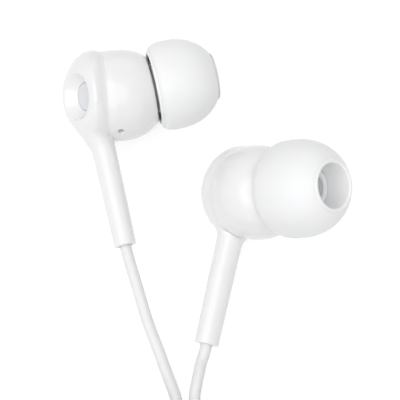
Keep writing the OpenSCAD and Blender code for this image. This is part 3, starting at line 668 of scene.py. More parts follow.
# %% [markdown]
# The back, the stem and the flare are fused by a fine voxel remesh. Smoothing
# then gives the fillets that a mould maker would blend by hand: a little all
# over, but for the stem's crisp end, and much more at the neck, where the back
# runs into the stem. The neck is smoothed in three steps, each of which
# reaches less far down the stem than the one before.

# %% Fuse and smooth
VOXEL = 0.11
SKIN_ROUNDS, END_KEPT = 6, 0.8
NECK_TOP, NECK_FRONT = -2.5, -2.6
NECK_STEPS = ((-10.5, 24), (-9.5, 20), (-8.8, 20))    # lowest point, rounds of smoothing

join(back, stem, flare)
fuse = back.modifiers.new("fuse", "REMESH")
fuse.mode, fuse.voxel_size, fuse.adaptivity = "VOXEL", VOXEL, 0
bpy.ops.object.modifier_apply(modifier=fuse.name)


def select_where(piece, test):
    """Selects the vertices that pass a test."""
    for v in piece.data.vertices:
        v.select = test(v.co)
    for e in piece.data.edges:
        e.select = all(piece.data.vertices[i].select for i in e.vertices)
    for f in piece.data.polygons:
        f.select = all(piece.data.vertices[i].select for i in f.vertices)


def smooth_where(piece, test, repeat):
    select_where(piece, test)
    only(piece)
    bpy.ops.object.mode_set(mode="EDIT")
    bpy.ops.mesh.select_mode(type="VERT")
    bpy.ops.mesh.vertices_smooth(factor=0.5, repeat=repeat)
    bpy.ops.object.mode_set(mode="OBJECT")


smooth_where(back, lambda p: p.y > -STEM_LEN + END_KEPT, SKIN_ROUNDS)
for low, rounds in NECK_STEPS:
    smooth_where(back, lambda p: low < p.y < NECK_TOP and p.z < NECK_FRONT, rounds)
print("fused:", len(back.data.polygons), "faces")

# %% [markdown]
# After the smoothing the sharp features are cut. The hollow is the same loft
# with an inset. The front shell's own rings, made a little wider, trim the
# front edge, so the two halves fit. A boss inside carries the cone, and the
# stem gets its bore.

# %% Hollow, cone and bore
HOLLOW_STOP, HOLLOW_STEPS, HOLLOW_AHEAD, SHELL_GAP = 0.77, 16, 0.3, 0.03
RECESS_R, RECESS_DEPTH, LIP, DISC_R, DISC_T = 3.05, 1.3, 0.14, 1.85, 0.45
BOSS_WALL, BOSS_START, BOSS_FLOOR = 0.4, 0.35, 0.65
STEM_BORE_R, BORE_ROUND, BORE_STOP = 1.02, 0.1, 5
ON_REAR = REAR_AXIS @ Matrix.Translation((0, 0, -RIM_BACK))

carve(back, back_loft("hollow", WALL, HOLLOW_STOP, HOLLOW_STEPS, AHEAD + HOLLOW_AHEAD))
envelope = loft("envelope", [(r + SHELL_GAP, z, way) for r, z, way in front_rings[:-2]]
                + [(dome_r(-PARTING_BACK) + SHELL_GAP, -PARTING_BACK, BARREL_TURN)])
carve(back, envelope)
disc_back = RECESS_DEPTH + DISC_T
boss = rod("boss", RECESS_R + BOSS_WALL, BOSS_START, disc_back + BOSS_FLOOR, steps=96)
carve(back, moved(boss, ON_REAR), "UNION")
lip_r = RECESS_R + LIP
cone = turned("cone", [(0, -BEYOND), (lip_r, -BEYOND), (lip_r, -HAIR)]
              + arc((lip_r, LIP - HAIR), LIP, 270, 210, 6)[1:]
              + [(DISC_R + HAIR, RECESS_DEPTH), (DISC_R + HAIR, disc_back), (0, disc_back)])
carve(back, moved(cone, ON_REAR))
round_hole(back, STEM_AXIS @ Matrix.Translation((0, 0, -STEM_LEN)), STEM_BORE_R, BORE_ROUND,
           STEM_LEN - BORE_STOP, steps=96)
smooth_by_angle(back, SHELL_SHARP)
print("rear shell:", len(back.data.polygons), "faces")

# %% [markdown]
# ## Disc behind
# A separate round disc sits at the bottom of the cone. It is slightly dished,
# and its rim is rounded, so it catches a thin ring of light.

# %% Disc behind
DISH_R, DISH_MIDDLE, DISH_DEEP, DISC_ROUND = DISC_R * 0.8, 0.1, 0.06, 0.14

dish = [(0, DISH_MIDDLE)] + [(DISH_R * k / 10, DISH_MIDDLE - DISH_DEEP * (k / 10) ** 2)
                             for k in range(1, 11)]
disc = turned("right_rear_disc_skin", dish
              + arc((DISC_R - DISC_ROUND, DISC_ROUND + HAIR), DISC_ROUND, 270, 360, 5)
              + [(DISC_R, DISC_T - HAIR), (0, DISC_T - HAIR)], steps=96)
moved(disc, REAR_AXIS @ Matrix.Translation((0, 0, -RIM_BACK + RECESS_DEPTH - HAIR)))
smooth_by_angle(disc, SHELL_SHARP)
print("disc:", len(disc.data.polygons), "faces")

# %% [markdown]
# ## Ear tip
# The tip is one piece of soft silicone: a sleeve that grips the nozzle, and a
# thin dome that folds back from its mouth like an umbrella. The profile runs
# round both sides of the wall, so the skirt is really hollow.

# %% Curves of the ear tip
TIP_R, SKIRT_T, TUBE_T, SKIRT_BACK, SKIRT_FRONT = 6.1, 0.55, 0.7, 2.64, 6.6
TIP_SEAT, TIP_GRIP, MOUTH_R, MOUTH_TURN = 0.25, 0.05, 2.66, 0.3
BACK_DROP, BACK_POWER, FRONT_POWER = 0.95, 3.5, 2.2
TIP_BACK = FACE_FRONT + TIP_SEAT
BELT = TIP_BACK + SKIRT_BACK
TIP_BORE_R = BEAD_R + TIP_GRIP


def skirt_back_r(d):
    return TIP_R - BACK_DROP * (d / SKIRT_BACK) ** BACK_POWER


def skirt_front_r(d):
    return TIP_R * (1 - (d / SKIRT_FRONT) ** FRONT_POWER) ** (1 / FRONT_POWER)


print("the tip is widest", round(BELT, 2), "mm in front of the housing's centre")

# %% Ear tip
LIP_JOIN, LIP_SQUASH, LIP_DROP, LIP_START, LIP_STOP = 0.05, 0.9, 0.12, 18, 180
ROOT_DEEP, ROOT_ROOM, WALL_ROOM, SLEEVE_BREAK = 1.6, 0.3, 0.3, 0.15
SEAT_TOP, MOUTH_LOW = 0.3, 0.9

lip_mid = MOUTH_R + MOUTH_TURN
front_len = SKIRT_FRONT * (1 - ((lip_mid + LIP_JOIN) / TIP_R) ** FRONT_POWER) ** (1 / FRONT_POWER)
root_front = BELT + front_len - ROOT_DEEP
tube_r = TIP_BORE_R + TUBE_T
hem_r = skirt_back_r(SKIRT_BACK) - SKIRT_T / 2
hem = arc((hem_r, TIP_BACK + SKIRT_T / 2), SKIRT_T / 2, 180, 360, 8)
outer = ([(skirt_back_r(SKIRT_BACK * k / 16), BELT - SKIRT_BACK * k / 16)
          for k in range(14, 0, -1)]
         + [(skirt_front_r(d), BELT + d) for d in
            [front_len * math.sin(math.pi / 2 * k / 36) for k in range(37)]])
lip = [(lip_mid + MOUTH_TURN * LIP_SQUASH * math.cos(math.radians(a)),
        BELT + front_len - LIP_DROP + MOUTH_TURN * math.sin(math.radians(a)))
       for a in [LIP_START + (LIP_STOP - LIP_START) * k / 12 for k in range(13)]]
sleeve = [(MOUTH_R, NOZZLE_FRONT + MOUTH_LOW), (TIP_BORE_R, NOZZLE_FRONT + SEAT_TOP),
          (TIP_BORE_R, TIP_BACK + SLEEVE_BREAK), (TIP_BORE_R + SLEEVE_BREAK, TIP_BACK),
          (tube_r - SLEEVE_BREAK, TIP_BACK), (tube_r, TIP_BACK + SLEEVE_BREAK),
          (tube_r, root_front - ROOT_ROOM)]
under = [(max(tube_r + WALL_ROOM, skirt_front_r(d) - SKIRT_T), BELT + d) for d in
         [(root_front - BELT) * k / 24 for k in range(24, -1, -1)]]
under += [(skirt_back_r(SKIRT_BACK * k / 12) - SKIRT_T, BELT - SKIRT_BACK * k / 12)
          for k in range(1, 11)]
tip = turned("right_ear_tip_skin", hem + outer + lip + sleeve + under, ring=True)
smooth_by_angle(tip, 50)
print("ear tip:", len(tip.data.polygons), "faces")

# %% [markdown]
# ## Nozzle mesh
# Fine woven steel keeps wax out of the nozzle. A grid is cut to a disc, and
# Blender's Wireframe modifier turns its edges into wires. A real weave is
# finer, and is drawn coarser here so that its wires still show. A pale felt
# lies behind it.

# %% Nozzle mesh
MESH_R, WIRE_GAP, WIRE_D, MESH_BACK = SOUND_R + 0.33, 0.24, 0.06, 0.1
RIM_W, RIM_LOW, RIM_CHAMFER = 0.22, 0.17, 0.05
FELT_BACK, FELT_FRONT, FELT_SIDE, FELT_ROUND = 0.9, 0.24, 0.32, 0.15

count = math.ceil(2 * MESH_R / WIRE_GAP)
bpy.ops.object.select_all(action="DESELECT")
bpy.ops.mesh.primitive_grid_add(x_subdivisions=count, y_subdivisions=count, size=count * WIRE_GAP,
                                location=(0, 0, NOZZLE_FRONT - MESH_BACK))
screen = bpy.context.object
screen.name = screen.data.name = "right_nozzle_mesh_skin"
bpy.ops.object.transform_apply(location=True, rotation=True, scale=True)
select_where(screen, lambda p: math.hypot(p.x, p.y) > MESH_R)
bpy.ops.object.mode_set(mode="EDIT")
bpy.ops.mesh.delete(type="VERT")
bpy.ops.object.mode_set(mode="OBJECT")
wires = screen.modifiers.new("wires", "WIREFRAME")
wires.thickness, wires.use_even_offset, wires.use_boundary = WIRE_D, False, True
bpy.ops.object.modifier_apply(modifier=wires.name)
rim = turned("rim", [(MESH_R - RIM_W, NOZZLE_FRONT - RIM_LOW), (MESH_R, NOZZLE_FRONT - RIM_LOW),
                     (MESH_R, NOZZLE_FRONT - HAIR),
                     (MESH_R - RIM_W, NOZZLE_FRONT - RIM_CHAMFER)], steps=64, ring=True)
join(screen, rim)
felt_r = SOUND_R - HAIR
felt = turned("right_felt", [(0, NOZZLE_FRONT - FELT_BACK), (felt_r, NOZZLE_FRONT - FELT_BACK),
                             (felt_r, NOZZLE_FRONT - FELT_SIDE),
                             (SOUND_R - FELT_ROUND, NOZZLE_FRONT - FELT_FRONT),
                             (0, NOZZLE_FRONT - FELT_FRONT)], steps=48)
for piece in (screen, felt):
    smooth_by_angle(piece, SHELL_SHARP)
print("mesh:", len(screen.data.polygons), "faces")

# %% [markdown]
# ## Both earbuds in place
# Each piece is copied once for the left earbud. The copy has its own mesh,
# and the mirrored placement turns it inside out, so its faces are flipped.

# %% Both earbuds in place
SMALL = Matrix.Scale(MM, 4)
earbud_pieces = []
for piece, kind, body, material_slot in ((front, "front_shell", "set", "white_shell"),
                                         (back, "rear_shell", "set", "white_shell"),
                                         (disc, "rear_disc", "set", "grey_disc"),
                                         (tip, "ear_tip", "tip", "ear_tip"),
                                         (screen, "nozzle_mesh", "set", "steel_mesh"),
                                         (felt, None, "set", "grey_disc")):
    twin = copied(piece, piece.name.replace("right_", "left_"))
    for side, made, place in (("right", piece, RIGHT_PLACE), ("left", twin, LEFT_PLACE)):
        moved(made, SMALL @ place)
        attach(made, "set" if body == "set" else side + "_" + body)
        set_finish(made, material_slot)
        if kind:
            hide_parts(side + "_" + kind)
        earbud_pieces.append(made.name)
print("earbud pieces:", sorted(earbud_pieces))

# %% [markdown]
# ## Remote
# The two leads meet in a small remote with a microphone and one button. It is
# moulded in two halves. Each half is a cube with its upright edges rounded
# first and its outer edge after that, and the seam is a fine rounded step.

# %% Tools for the remote
SPLIT_CORNER, SPLIT_ROUND, SEAM_ROUND, SEAM_HALF = 1.5, 0.9, 0.12, 0.01
SPLIT_MID = Vector((PAIR_X, SPLIT_Y - SPLIT_LEN / 2, SPLIT_Z))
BUTTON_AHEAD, MIC_BACK = 1.5, 6.5
BUTTON_Y, MIC_Y = SPLIT_MID.y + BUTTON_AHEAD, SPLIT_MID.y - MIC_BACK
CLOSE = 0.01    # two heights nearer than this are the same one


def bevel_edges(piece, test, width, segments):
    """Rounds the edges whose two ends pass a test."""
    only(piece)
    for v in piece.data.vertices:
        v.select = False
    for f in piece.data.polygons:
        f.select = False
    for e in piece.data.edges:
        a, b = (piece.data.vertices[i].co for i in e.vertices)
        e.select = test(a, b)
    bpy.ops.object.mode_set(mode="EDIT")
    bpy.ops.mesh.select_mode(type="EDGE")
    bpy.ops.mesh.bevel(offset=width, segments=segments, profile=0.5, affect="EDGES",
                       clamp_overlap=True)
    bpy.ops.object.mode_set(mode="OBJECT")


def upright(a, b):
    """The test for edges that stand up."""
    return abs(a.z - b.z) > CLOSE


def at_height(z):
    """The test for edges that lie level at one height."""
    return lambda a, b: abs(a.z - z) < CLOSE and abs(b.z - z) < CLOSE


def box(name, w, l, y, low, high):
    """A box on the remote's middle line, with its four upright edges still sharp."""
    bpy.ops.object.select_all(action="DESELECT")
    bpy.ops.mesh.primitive_cube_add(size=1, location=(PAIR_X, y, (low + high) / 2),
                                    scale=(w, l, high - low))
    piece = bpy.context.object
    piece.name = piece.data.name = name
    bpy.ops.object.transform_apply(location=True, rotation=True, scale=True)
    return piece


def half_shell(name, low, high, outer_z, seam_z):
    piece = box(name, SPLIT_W, SPLIT_LEN, SPLIT_MID.y, low, high)
    bevel_edges(piece, upright, SPLIT_CORNER, 10)
    bevel_edges(piece, at_height(outer_z), SPLIT_ROUND, 6)
    bevel_edges(piece, at_height(seam_z), SEAM_ROUND, 3)
    return piece


def slab(name, w, l, low, high):
    """A block with round ends, where the button is: a cutter or a key."""
    piece = box(name, w, l, BUTTON_Y, low, high)
    bevel_edges(piece, upright, w / 2 - MERGE, 16)
    return piece


lower = half_shell("splitter_lower", 0, SPLIT_Z - SEAM_HALF, 0, SPLIT_Z - SEAM_HALF)
upper = half_shell("splitter_upper", SPLIT_Z + SEAM_HALF, SPLIT_H, SPLIT_H, SPLIT_Z + SEAM_HALF)
print("halves:", [len(p.data.polygons) for p in (lower, upper)])

# %% [markdown]
# The halves are hollow for the board. The upper one has a well for the button
# and a hole for the microphone, and both halves are cut where the cords enter.
# The button is a key with round ends, a shallow dish for the finger, and a
# small nub in it that can be felt.

# %% Hollow, button and holes
BUTTON_LEN, BUTTON_W, BUTTON_PROUD, BUTTON_GAP = 8, 3.6, 0.45, 0.24
SPLIT_WALL, WELL_START, KEY_START, KEY_ROUND = 1, 0.5, 1, 0.3
MIC_R, MIC_ROUND, MIC_DEEP = 0.35, 0.1, 1.5
DIMPLE_R, DIMPLE_ROUND, DIMPLE_DEEP = 1.15, 0.25, 0.16
NUB_R, NUB_ROUND, NUB_LOW, NUB_SUNK = 0.45, 0.25, 0.3, 0.2
CORD_GAP, CORD_ROUND, CORD_DEEP = 0.06, 0.15, 1.6

rooms = [slab("room", SPLIT_W - 2 * SPLIT_WALL, SPLIT_LEN - 2 * SPLIT_WALL, SPLIT_WALL,
              SPLIT_H - SPLIT_WALL) for k in range(2)]
for piece, room in zip((lower, upper), rooms):
    carve(piece, moved(room, Matrix.Translation((0, -BUTTON_AHEAD, 0))))
carve(upper, slab("well", BUTTON_W + BUTTON_GAP, BUTTON_LEN + BUTTON_GAP, SPLIT_Z + WELL_START,
                  SPLIT_H + BEYOND))
down = Matrix.Rotation(math.pi, 4, "X")
round_hole(upper, Matrix.Translation((PAIR_X, MIC_Y, SPLIT_H)) @ down, MIC_R, MIC_ROUND, MIC_DEEP)
key_top = SPLIT_H + BUTTON_PROUD
key = slab("control_button_skin", BUTTON_W, BUTTON_LEN, SPLIT_Z + KEY_START, key_top)
bevel_edges(key, lambda a, b: min(a.z, b.z) > key_top - CLOSE, KEY_ROUND, 5)
round_hole(key, Matrix.Translation((PAIR_X, BUTTON_Y, key_top)) @ down, DIMPLE_R, DIMPLE_ROUND,
           DIMPLE_DEEP)
nub_side = NUB_LOW - NUB_ROUND
nub = turned("nub", [(0, -NUB_LOW), (NUB_R, -NUB_LOW), (NUB_R, nub_side)]
             + arc((NUB_R - NUB_ROUND, nub_side), NUB_ROUND, 0, 90, 5)[1:] + [(0, NUB_LOW)],
             steps=32)
carve(key, moved(nub, Matrix.Translation((PAIR_X, BUTTON_Y, key_top - NUB_SUNK))), "UNION")
for y, into, x, r in ((SPLIT_Y, 90, PAIR_X - PAIR_GAP / 2, LEAD_D / 2),
                      (SPLIT_Y, 90, PAIR_X + PAIR_GAP / 2, LEAD_D / 2),
                      (SPLIT_BACK, -90, PAIR_X, MAIN_D / 2)):
    inward = Matrix.Rotation(math.radians(into), 4, "X")
    for piece in (lower, upper):
        round_hole(piece, Matrix.Translation((x, y, SPLIT_Z)) @ inward, r + CORD_GAP, CORD_ROUND,
                   CORD_DEEP)
for piece, name, body in ((lower, "splitter_back_shell", "set"),
                          (upper, "splitter_front_shell", "set"),
                          (key, "control_button", "button")):
    moved(piece, SMALL)
    smooth_by_angle(piece, 35)
    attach(piece, body)
    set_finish(piece, "white_shell")
    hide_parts(name)
print("remote:", [len(p.data.polygons) for p in (lower, upper, key)])

# %% [markdown]
# ## Plug
# The cable ends in a straight round plug: a ribbed relief, a smooth grip and a
# gold-plated pin with four contacts, parted by thin black bands. Every piece
# is turned about the plug's axis.

# %% Relief and grip
PLUG_R, PLUG_LEN, RELIEF_LEN, RELIEF_R = 3.1, 16, 9, 1.5
NECK_R, GRIP_BACK_R, GRIP_FRONT_R = PLUG_R * 0.75, PLUG_R * 0.8, PLUG_R * 0.72
RIBS, RIB_DEEP, RIB_POWER, RIB_MARGIN, RELIEF_STEPS = 5, 0.36, 0.35, 0.6, 60
RELIEF_SKIN, RELIEF_MOUTH = 0.05, 0.15
GRIP_ROUND, SWELL_LEN, SHOULDER, SHOULDER_ROUND, SHOULDER_SWEEP = 0.2, 2.3, 2, 1.2, 62
GROOVES, GROOVE_FIRST, GROOVE_STEP = 5, 6, 1.1
GRIP_GROOVE = ((-0.3, 0), (-0.16, 0.05), (0, 0.14), (0.16, 0.05), (0.3, 0))


def relief_profile():
    """A cone with rounded ribs and narrow necks between them."""
    points = [(0, 0), (MAIN_D / 2 + RELIEF_MOUTH, 0)]
    for k in range(RELIEF_STEPS):
        z = RELIEF_LEN * (k + 0.5) / RELIEF_STEPS
        rib = 0.5 + 0.5 * math.cos(2 * math.pi * z / RELIEF_LEN * RIBS)
        soft = rib ** RIB_POWER if RIB_MARGIN < z < RELIEF_LEN - RIB_MARGIN else 1
        points.append((RELIEF_R - RELIEF_SKIN + (NECK_R - RELIEF_R) * z / RELIEF_LEN
                       - RIB_DEEP * (1 - soft), z))
    return points + [(NECK_R, RELIEF_LEN), (0, RELIEF_LEN)]


def grip_profile():
    """A grip that swells from its back end, with a few fine grooves."""
    round_r = GRIP_BACK_R - GRIP_ROUND
    points = [(0, 0), (round_r, 0)] + arc((round_r, GRIP_ROUND), GRIP_ROUND, 270, 360, 4)[1:]
    points += [(GRIP_BACK_R + (PLUG_R - GRIP_BACK_R) * math.sin(math.pi / 2 * k / 12),
                GRIP_ROUND + SWELL_LEN * k / 12) for k in range(1, 13)]
    for k in range(GROOVES):
        z = GROOVE_FIRST + GROOVE_STEP * k
        points += [(PLUG_R - deep, z + along) for along, deep in GRIP_GROOVE]
    points += [(PLUG_R, PLUG_LEN - SHOULDER)]
    points += arc((PLUG_R - SHOULDER_ROUND, PLUG_LEN - SHOULDER_ROUND), SHOULDER_ROUND,
                  0, SHOULDER_SWEEP, 8)
    return points + [(GRIP_FRONT_R, PLUG_LEN), (0, PLUG_LEN)]


relief = turned("plug_relief_skin", relief_profile(), steps=64)
grip = turned("plug_body_skin", grip_profile(), steps=96)
moved(grip, Matrix.Translation((0, 0, RELIEF_LEN)))
print("relief and grip:", [len(p.data.polygons) for p in (relief, grip)])

# %% [markdown]
# The pin is turned in pieces as a real one is: a sleeve with a collar, two
# rings, and a pointed tip with a waist that a socket's spring snaps into. The
# black bands are one plastic core that shows between the contacts.

# %% Pin
PIN_R, PIN_LEN, BAND, SLEEVE_LEN, RING_LEN = 1.75, 14, 0.6, 4.9, 2.1
CONTACT_EDGE, BAND_SUNK, CORE_OVER = 0.05, 0.04, 0.1
COLLAR_T, COLLAR_INSET, COLLAR_CHAMFER = 0.5, 0.1, 0.15
TIP_AT = SLEEVE_LEN + 2 * RING_LEN + 3 * BAND
TIP_WAIST = ((PIN_R, 0.5), (PIN_R - 0.16, 0.72), (1.3, 1.0), (1.22, 1.15), (1.24, 1.3),
             (1.42, 1.55), (PIN_R - 0.08, 1.9), (PIN_R - 0.12, 2.15), (PIN_R - 0.3, 2.4))
TIP_POINT = ((0.62, 0.12), (0.4, 0))    # radius, and distance from the very end


def contact(name, low, high, r=PIN_R):
    return turned(name, [(0, low), (r - CONTACT_EDGE, low), (r, low + CONTACT_EDGE),
                         (r, high - CONTACT_EDGE), (r - CONTACT_EDGE, high), (0, high)], steps=64)


collar_r = NECK_R - COLLAR_INSET
collar = turned("collar", [(0, 0), (collar_r, 0), (collar_r, COLLAR_T - COLLAR_CHAMFER),
                           (collar_r - COLLAR_CHAMFER, COLLAR_T), (0, COLLAR_T)], steps=64)
sleeve_contact = contact("plug_sleeve_skin", COLLAR_T, SLEEVE_LEN)
join(sleeve_contact, collar)
ring_lows = [SLEEVE_LEN + BAND * k + RING_LEN * (k - 1) for k in (1, 2)]
rings = contact("plug_rings_skin", ring_lows[0], ring_lows[0] + RING_LEN)
join(rings, contact("second_ring", ring_lows[1], ring_lows[1] + RING_LEN))
bands = contact("plug_insulators_skin", SLEEVE_LEN - CORE_OVER, TIP_AT + CORE_OVER,
                PIN_R - BAND_SUNK)
nose = turned("plug_tip_skin", [(0, TIP_AT), (PIN_R - CONTACT_EDGE, TIP_AT),
                                (PIN_R, TIP_AT + CONTACT_EDGE)]
              + [(r, TIP_AT + ahead) for r, ahead in TIP_WAIST]
              + [(r, PIN_LEN - behind) for r, behind in TIP_POINT] + [(0, PIN_LEN)], steps=64)
print("pin:", [len(p.data.polygons) for p in (sleeve_contact, rings, bands, nose)])

# %% Plug in place
ON_PLUG = Matrix.Translation(PLUG_AT) @ Matrix.Rotation(math.radians(90), 4, "X")
PIN_AT = RELIEF_LEN + PLUG_LEN
for piece, name, material_slot, ahead in ((relief, "plug_relief", "cord_jacket", 0),
                                          (grip, "plug_body", "white_shell", 0),
                                          (sleeve_contact, "plug_sleeve", "plated_brass", PIN_AT),
                                          (rings, "plug_rings", "plated_brass", PIN_AT),
                                          (nose, "plug_tip", "plated_brass", PIN_AT),
                                          (bands, "plug_insulators", "dark_plastic", PIN_AT)):
    moved(piece, SMALL @ ON_PLUG @ Matrix.Translation((0, 0, ahead)))
    smooth_by_angle(piece, 35)
    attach(piece, "set")
    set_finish(piece, material_slot)
    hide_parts(name)

# %% [markdown]
# ## Facts of the cords
# The cords' lengths are printed where their lines are made; nothing more is declared here.

# %% Facts of the cords
print("cord lengths were printed with their lines")

# %% [markdown]
# ## Finishes
# All colours are plain, but no surface is only a colour. Each finish has a
# cloudy tint and an uneven gloss, whose clouds are about 4.5 mm wide, and a
# faint relief with a grain of its own. Every pattern reads Object coordinates,
# in metres, so a scale is one over the real size.

# %% Tools for finishes
CLOUD_SIZE = 1 / 0.22    # mm


def linear(code):
    """A hex colour as written for a screen, in the values that nodes use."""
    parts = [int(code[k:k + 2], 16) / 255 for k in (0, 2, 4)]
    return (*[p / 12.92 if p <= 0.04045 else ((p + 0.055) / 1.055) ** 2.4 for p in parts], 1)


def add(tree, kind, values=None, links=None, **options):
    """Adds a node with its options, the values of its sockets and its links."""
    node = tree.nodes.new("ShaderNode" + kind)
    for option, value in options.items():
        setattr(node, option, value)
    for socket, value in (values or {}).items():
        node.inputs[socket].default_value = value
    for socket, source in (links or {}).items():
        tree.links.new(source, node.inputs[socket])
    return node


def finish(name, colour, deeper, roughness, rough_change, ripple, ripple_size, ripple_depth,
           **surface):
    """A surface with cloudy colour, uneven gloss and a fine relief, sizes in mm."""
    material = bpy.data.materials.new(name)
    material.use_nodes = True
    tree = material.node_tree
    where = add(tree, "TexCoord").outputs["Object"]
    cloud = add(tree, "TexNoise", {"Scale": 1 / (CLOUD_SIZE * MM), "Detail": 3},
                {"Vector": where}).outputs["Fac"]
    tint = add(tree, "Mix", {"A": linear(colour), "B": linear(deeper)}, {"Factor": cloud},
               data_type="RGBA")
    gloss = add(tree, "MapRange", {"To Min": roughness - rough_change,
                                   "To Max": roughness + rough_change}, {"Value": cloud})
    grain = add(tree, "TexNoise", {"Scale": 1 / (ripple_size * MM), "Detail": 2},
                {"Vector": where})
    bump = add(tree, "Bump", {"Strength": ripple, "Distance": ripple_depth * MM},
               {"Height": grain.outputs["Fac"]})
    shader = tree.nodes["Principled BSDF"]
    for socket, value in surface.items():
        shader.inputs[socket.replace("_", " ")].default_value = value
    tree.links.new(tint.outputs["Result"], shader.inputs["Base Color"])
    tree.links.new(gloss.outputs["Result"], shader.inputs["Roughness"])
    tree.links.new(bump.outputs["Normal"], shader.inputs["Normal"])
    return material


print("the clouds are", round(CLOUD_SIZE, 2), "mm wide")

# %% [markdown]
# A finish is named for what the real part is made of and how. Its numbers are
# the colour and a deeper one, the roughness and how much it changes, and the
# strength, grain and depth of the relief.

# %% Finishes
finishes = {
    # ABS from a polished mould: a clear gloss with the faintest ripple in it.
    "white_shell": finish("polished ABS", "F4F4F4", "F0F0F1", 0.2, 0.03, 0.15, 0.8, 0.01,
                          Coat_Weight=0.3, Coat_Roughness=0.08),
    # Moulded silicone: satin, and light goes a little way in, so its shade is soft.
    "ear_tip": finish("moulded silicone", "F7F7F7", "F3F3F4", 0.38, 0.04, 0.2, 0.25, 0.01,
                      Subsurface_Weight=0.12, Subsurface_Scale=0.0008, Sheen_Weight=0.05),
    # An extruded elastomer: dull and slightly dusty, with a fine grain.
    "cord_jacket": finish("extruded elastomer", "EFEFEF", "EAEAEB", 0.45, 0.05, 0.3, 0.15, 0.01,
                          Sheen_Weight=0.08),
    # Grey ABS, as glossy as the shell: the disc behind. The felt shares its grey.
    "grey_disc": finish("polished grey ABS", "E2E3E6", "DCDDE0", 0.22, 0.03, 0.1, 0.6, 0.01,
                        Coat_Weight=0.3, Coat_Roughness=0.1),
    # Steel weave, painted pale: its near-white colour and low metal are a painted reflection of
    # the white round the wires, which lifts the shade in the nozzle.
    "steel_mesh": finish("woven steel painted pale", "E4E4E6", "DADADC", 0.4, 0.05, 0.2, 0.1, 0.01,
                         Metallic=0.15),
    # Steel as stamped: grey, with broad soft highlights.
    "steel": finish("stamped steel", "A9A9AB", "98989B", 0.35, 0.06, 0.2, 0.3, 0.01,
                    Metallic=1.0),
    # Nickel plating on a magnet: darker and smoother than the steel.
    "magnet": finish("nickel plating", "8F8F90", "808082", 0.25, 0.05, 0.2, 0.3, 0.01,
                     Metallic=1.0),
    # Copper wire under clear enamel: warm, with a wet gloss.
    "copper": finish("enamelled copper", "C77F4F", "B56E40", 0.3, 0.05, 0.3, 0.1, 0.02,
                     Metallic=1.0),
    # Pressed plastic film: thin, slightly yellow and smooth.
    "film": finish("pressed film", "E6E3D4", "DEDAC8", 0.3, 0.05, 0.2, 0.5, 0.01),
    # Black nylon from an etched mould: matt, with an even grain.
    "dark_plastic": finish("moulded black nylon", "2A2A2C", "222224", 0.5, 0.05, 0.4, 0.2, 0.02),
    # Glass-fibre laminate under green lacquer: half glossy.
    "board": finish("lacquered laminate", "1E6B3D", "185B33", 0.35, 0.05, 0.3, 0.3, 0.02),
    # Gold plating on turned brass: a warm mirror, hardly blurred.
    "plated_brass": finish("gold plating", "E8C880", "DDBB70", 0.16, 0.03, 0.1, 0.5, 0.005,
                           Metallic=1.0),
}


def dress(piece, material):
    piece.data.materials.clear()
    piece.data.materials.append(material)


slots = {s["node"]: s["material_slot"] for s in frame["record"]["subparts"]}
for name, node in nodes.items():
    dress(node, finishes[slots[name]])
for piece in bpy.context.scene.objects:
    if piece.get("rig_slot"):
        dress(piece, finishes[piece["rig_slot"]])
print("finishes:", len(finishes))

# %% [markdown]
# ## Table
# The table is white where the camera, mirrors and glass see it: a glow that
# with a little diffuse light on it comes to white, and still takes the
# object's shadow. To all other light it is a plain pale table.

# %% Table
TABLE_SIZE, TABLE_COLOUR, CATCH, GLOW = 4, "ECECEC", 0.35, 0.75
WHITE = (1, 1, 1, 1)


def seen_white(tree):
    """One for the rays of the camera, of mirrors and of glass, else zero."""
    seen = add(tree, "LightPath")
    found = seen.outputs["Is Camera Ray"]
    for kind in ("Is Glossy Ray", "Is Transmission Ray"):
        found = add(tree, "Math", links={0: found, 1: seen.outputs[kind]},
                    operation="MAXIMUM").outputs[0]
    return found


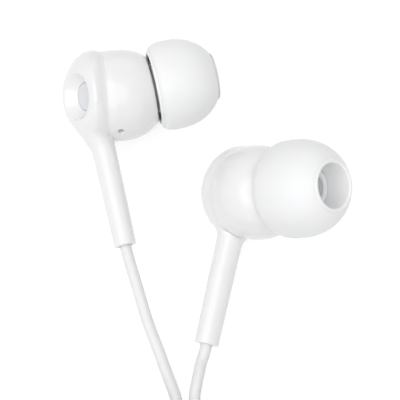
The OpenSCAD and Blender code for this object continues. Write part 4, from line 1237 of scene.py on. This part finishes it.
bpy.ops.object.select_all(action="DESELECT")
bpy.ops.mesh.primitive_plane_add(size=TABLE_SIZE, location=(0, 0, 0))
table = bpy.context.object
table.name = table.data.name = "table"
table_top = bpy.data.materials.new("matt white laminate")
table_top.use_nodes = True
tree = table_top.node_tree
tree.nodes.remove(tree.nodes["Principled BSDF"])
matt = add(tree, "BsdfDiffuse", {"Color": linear(TABLE_COLOUR)})
catch = add(tree, "BsdfDiffuse", {"Color": (CATCH, CATCH, CATCH, 1)})
glow = add(tree, "Emission", {"Color": WHITE, "Strength": GLOW})
both = add(tree, "AddShader", links={0: catch.outputs[0], 1: glow.outputs[0]})
pick = add(tree, "MixShader",
           links={0: seen_white(tree), 1: matt.outputs[0], 2: both.outputs[0]})
tree.links.new(pick.outputs[0], tree.nodes["Material Output"].inputs["Surface"])
table.data.materials.append(table_top)
print("table of", TABLE_SIZE, "m")

# %% [markdown]
# ## Light
# One wide lamp hangs above, a little to the left and in front, and a weaker
# one fills from behind. The surroundings too are white where the camera,
# mirrors and glass see them. The light that they give is dimmer, most of all
# near the horizon, so the undersides of the pieces keep their shade.

# %% Light
LOW_SKY, HIGH_SKY = (0.1, 0.36), (0.5, 0.6)    # how high a direction points, strength


def lamp(name, at, aim, size, watts):
    light = bpy.data.lights.new(name, "AREA")
    light.shape, light.size, light.energy = "DISK", size, watts
    holder = bpy.data.objects.new(name, light)
    holder.location = at
    holder.rotation_euler = (Vector(aim) - Vector(at)).to_track_quat("-Z", "Y").to_euler()
    bpy.context.scene.collection.objects.link(holder)


lamp("overhead", (-0.14, -0.19, 0.57), (0, 0, 0), 0.9, 2.6)
lamp("behind", (0.1, 0.7, 0.3), (0, 0, 0), 0.5, 0.3)
world = bpy.data.worlds.new("studio")
bpy.context.scene.world = world
world.use_nodes = True
tree = world.node_tree
towards = add(tree, "TexCoord").outputs["Generated"]
height = add(tree, "SeparateXYZ", links={"Vector": towards}).outputs["Z"]
rise = add(tree, "MapRange", {"From Min": LOW_SKY[0], "From Max": HIGH_SKY[0],
                              "To Min": LOW_SKY[1], "To Max": HIGH_SKY[1]}, {"Value": height})
brighter = add(tree, "Math", links={0: seen_white(tree), 1: rise.outputs["Result"]},
               operation="MAXIMUM")
sky = tree.nodes["Background"]
sky.inputs["Color"].default_value = WHITE
tree.links.new(brighter.outputs[0], sky.inputs["Strength"])
bpy.context.scene.view_settings.view_transform = "Standard"
print("light set")
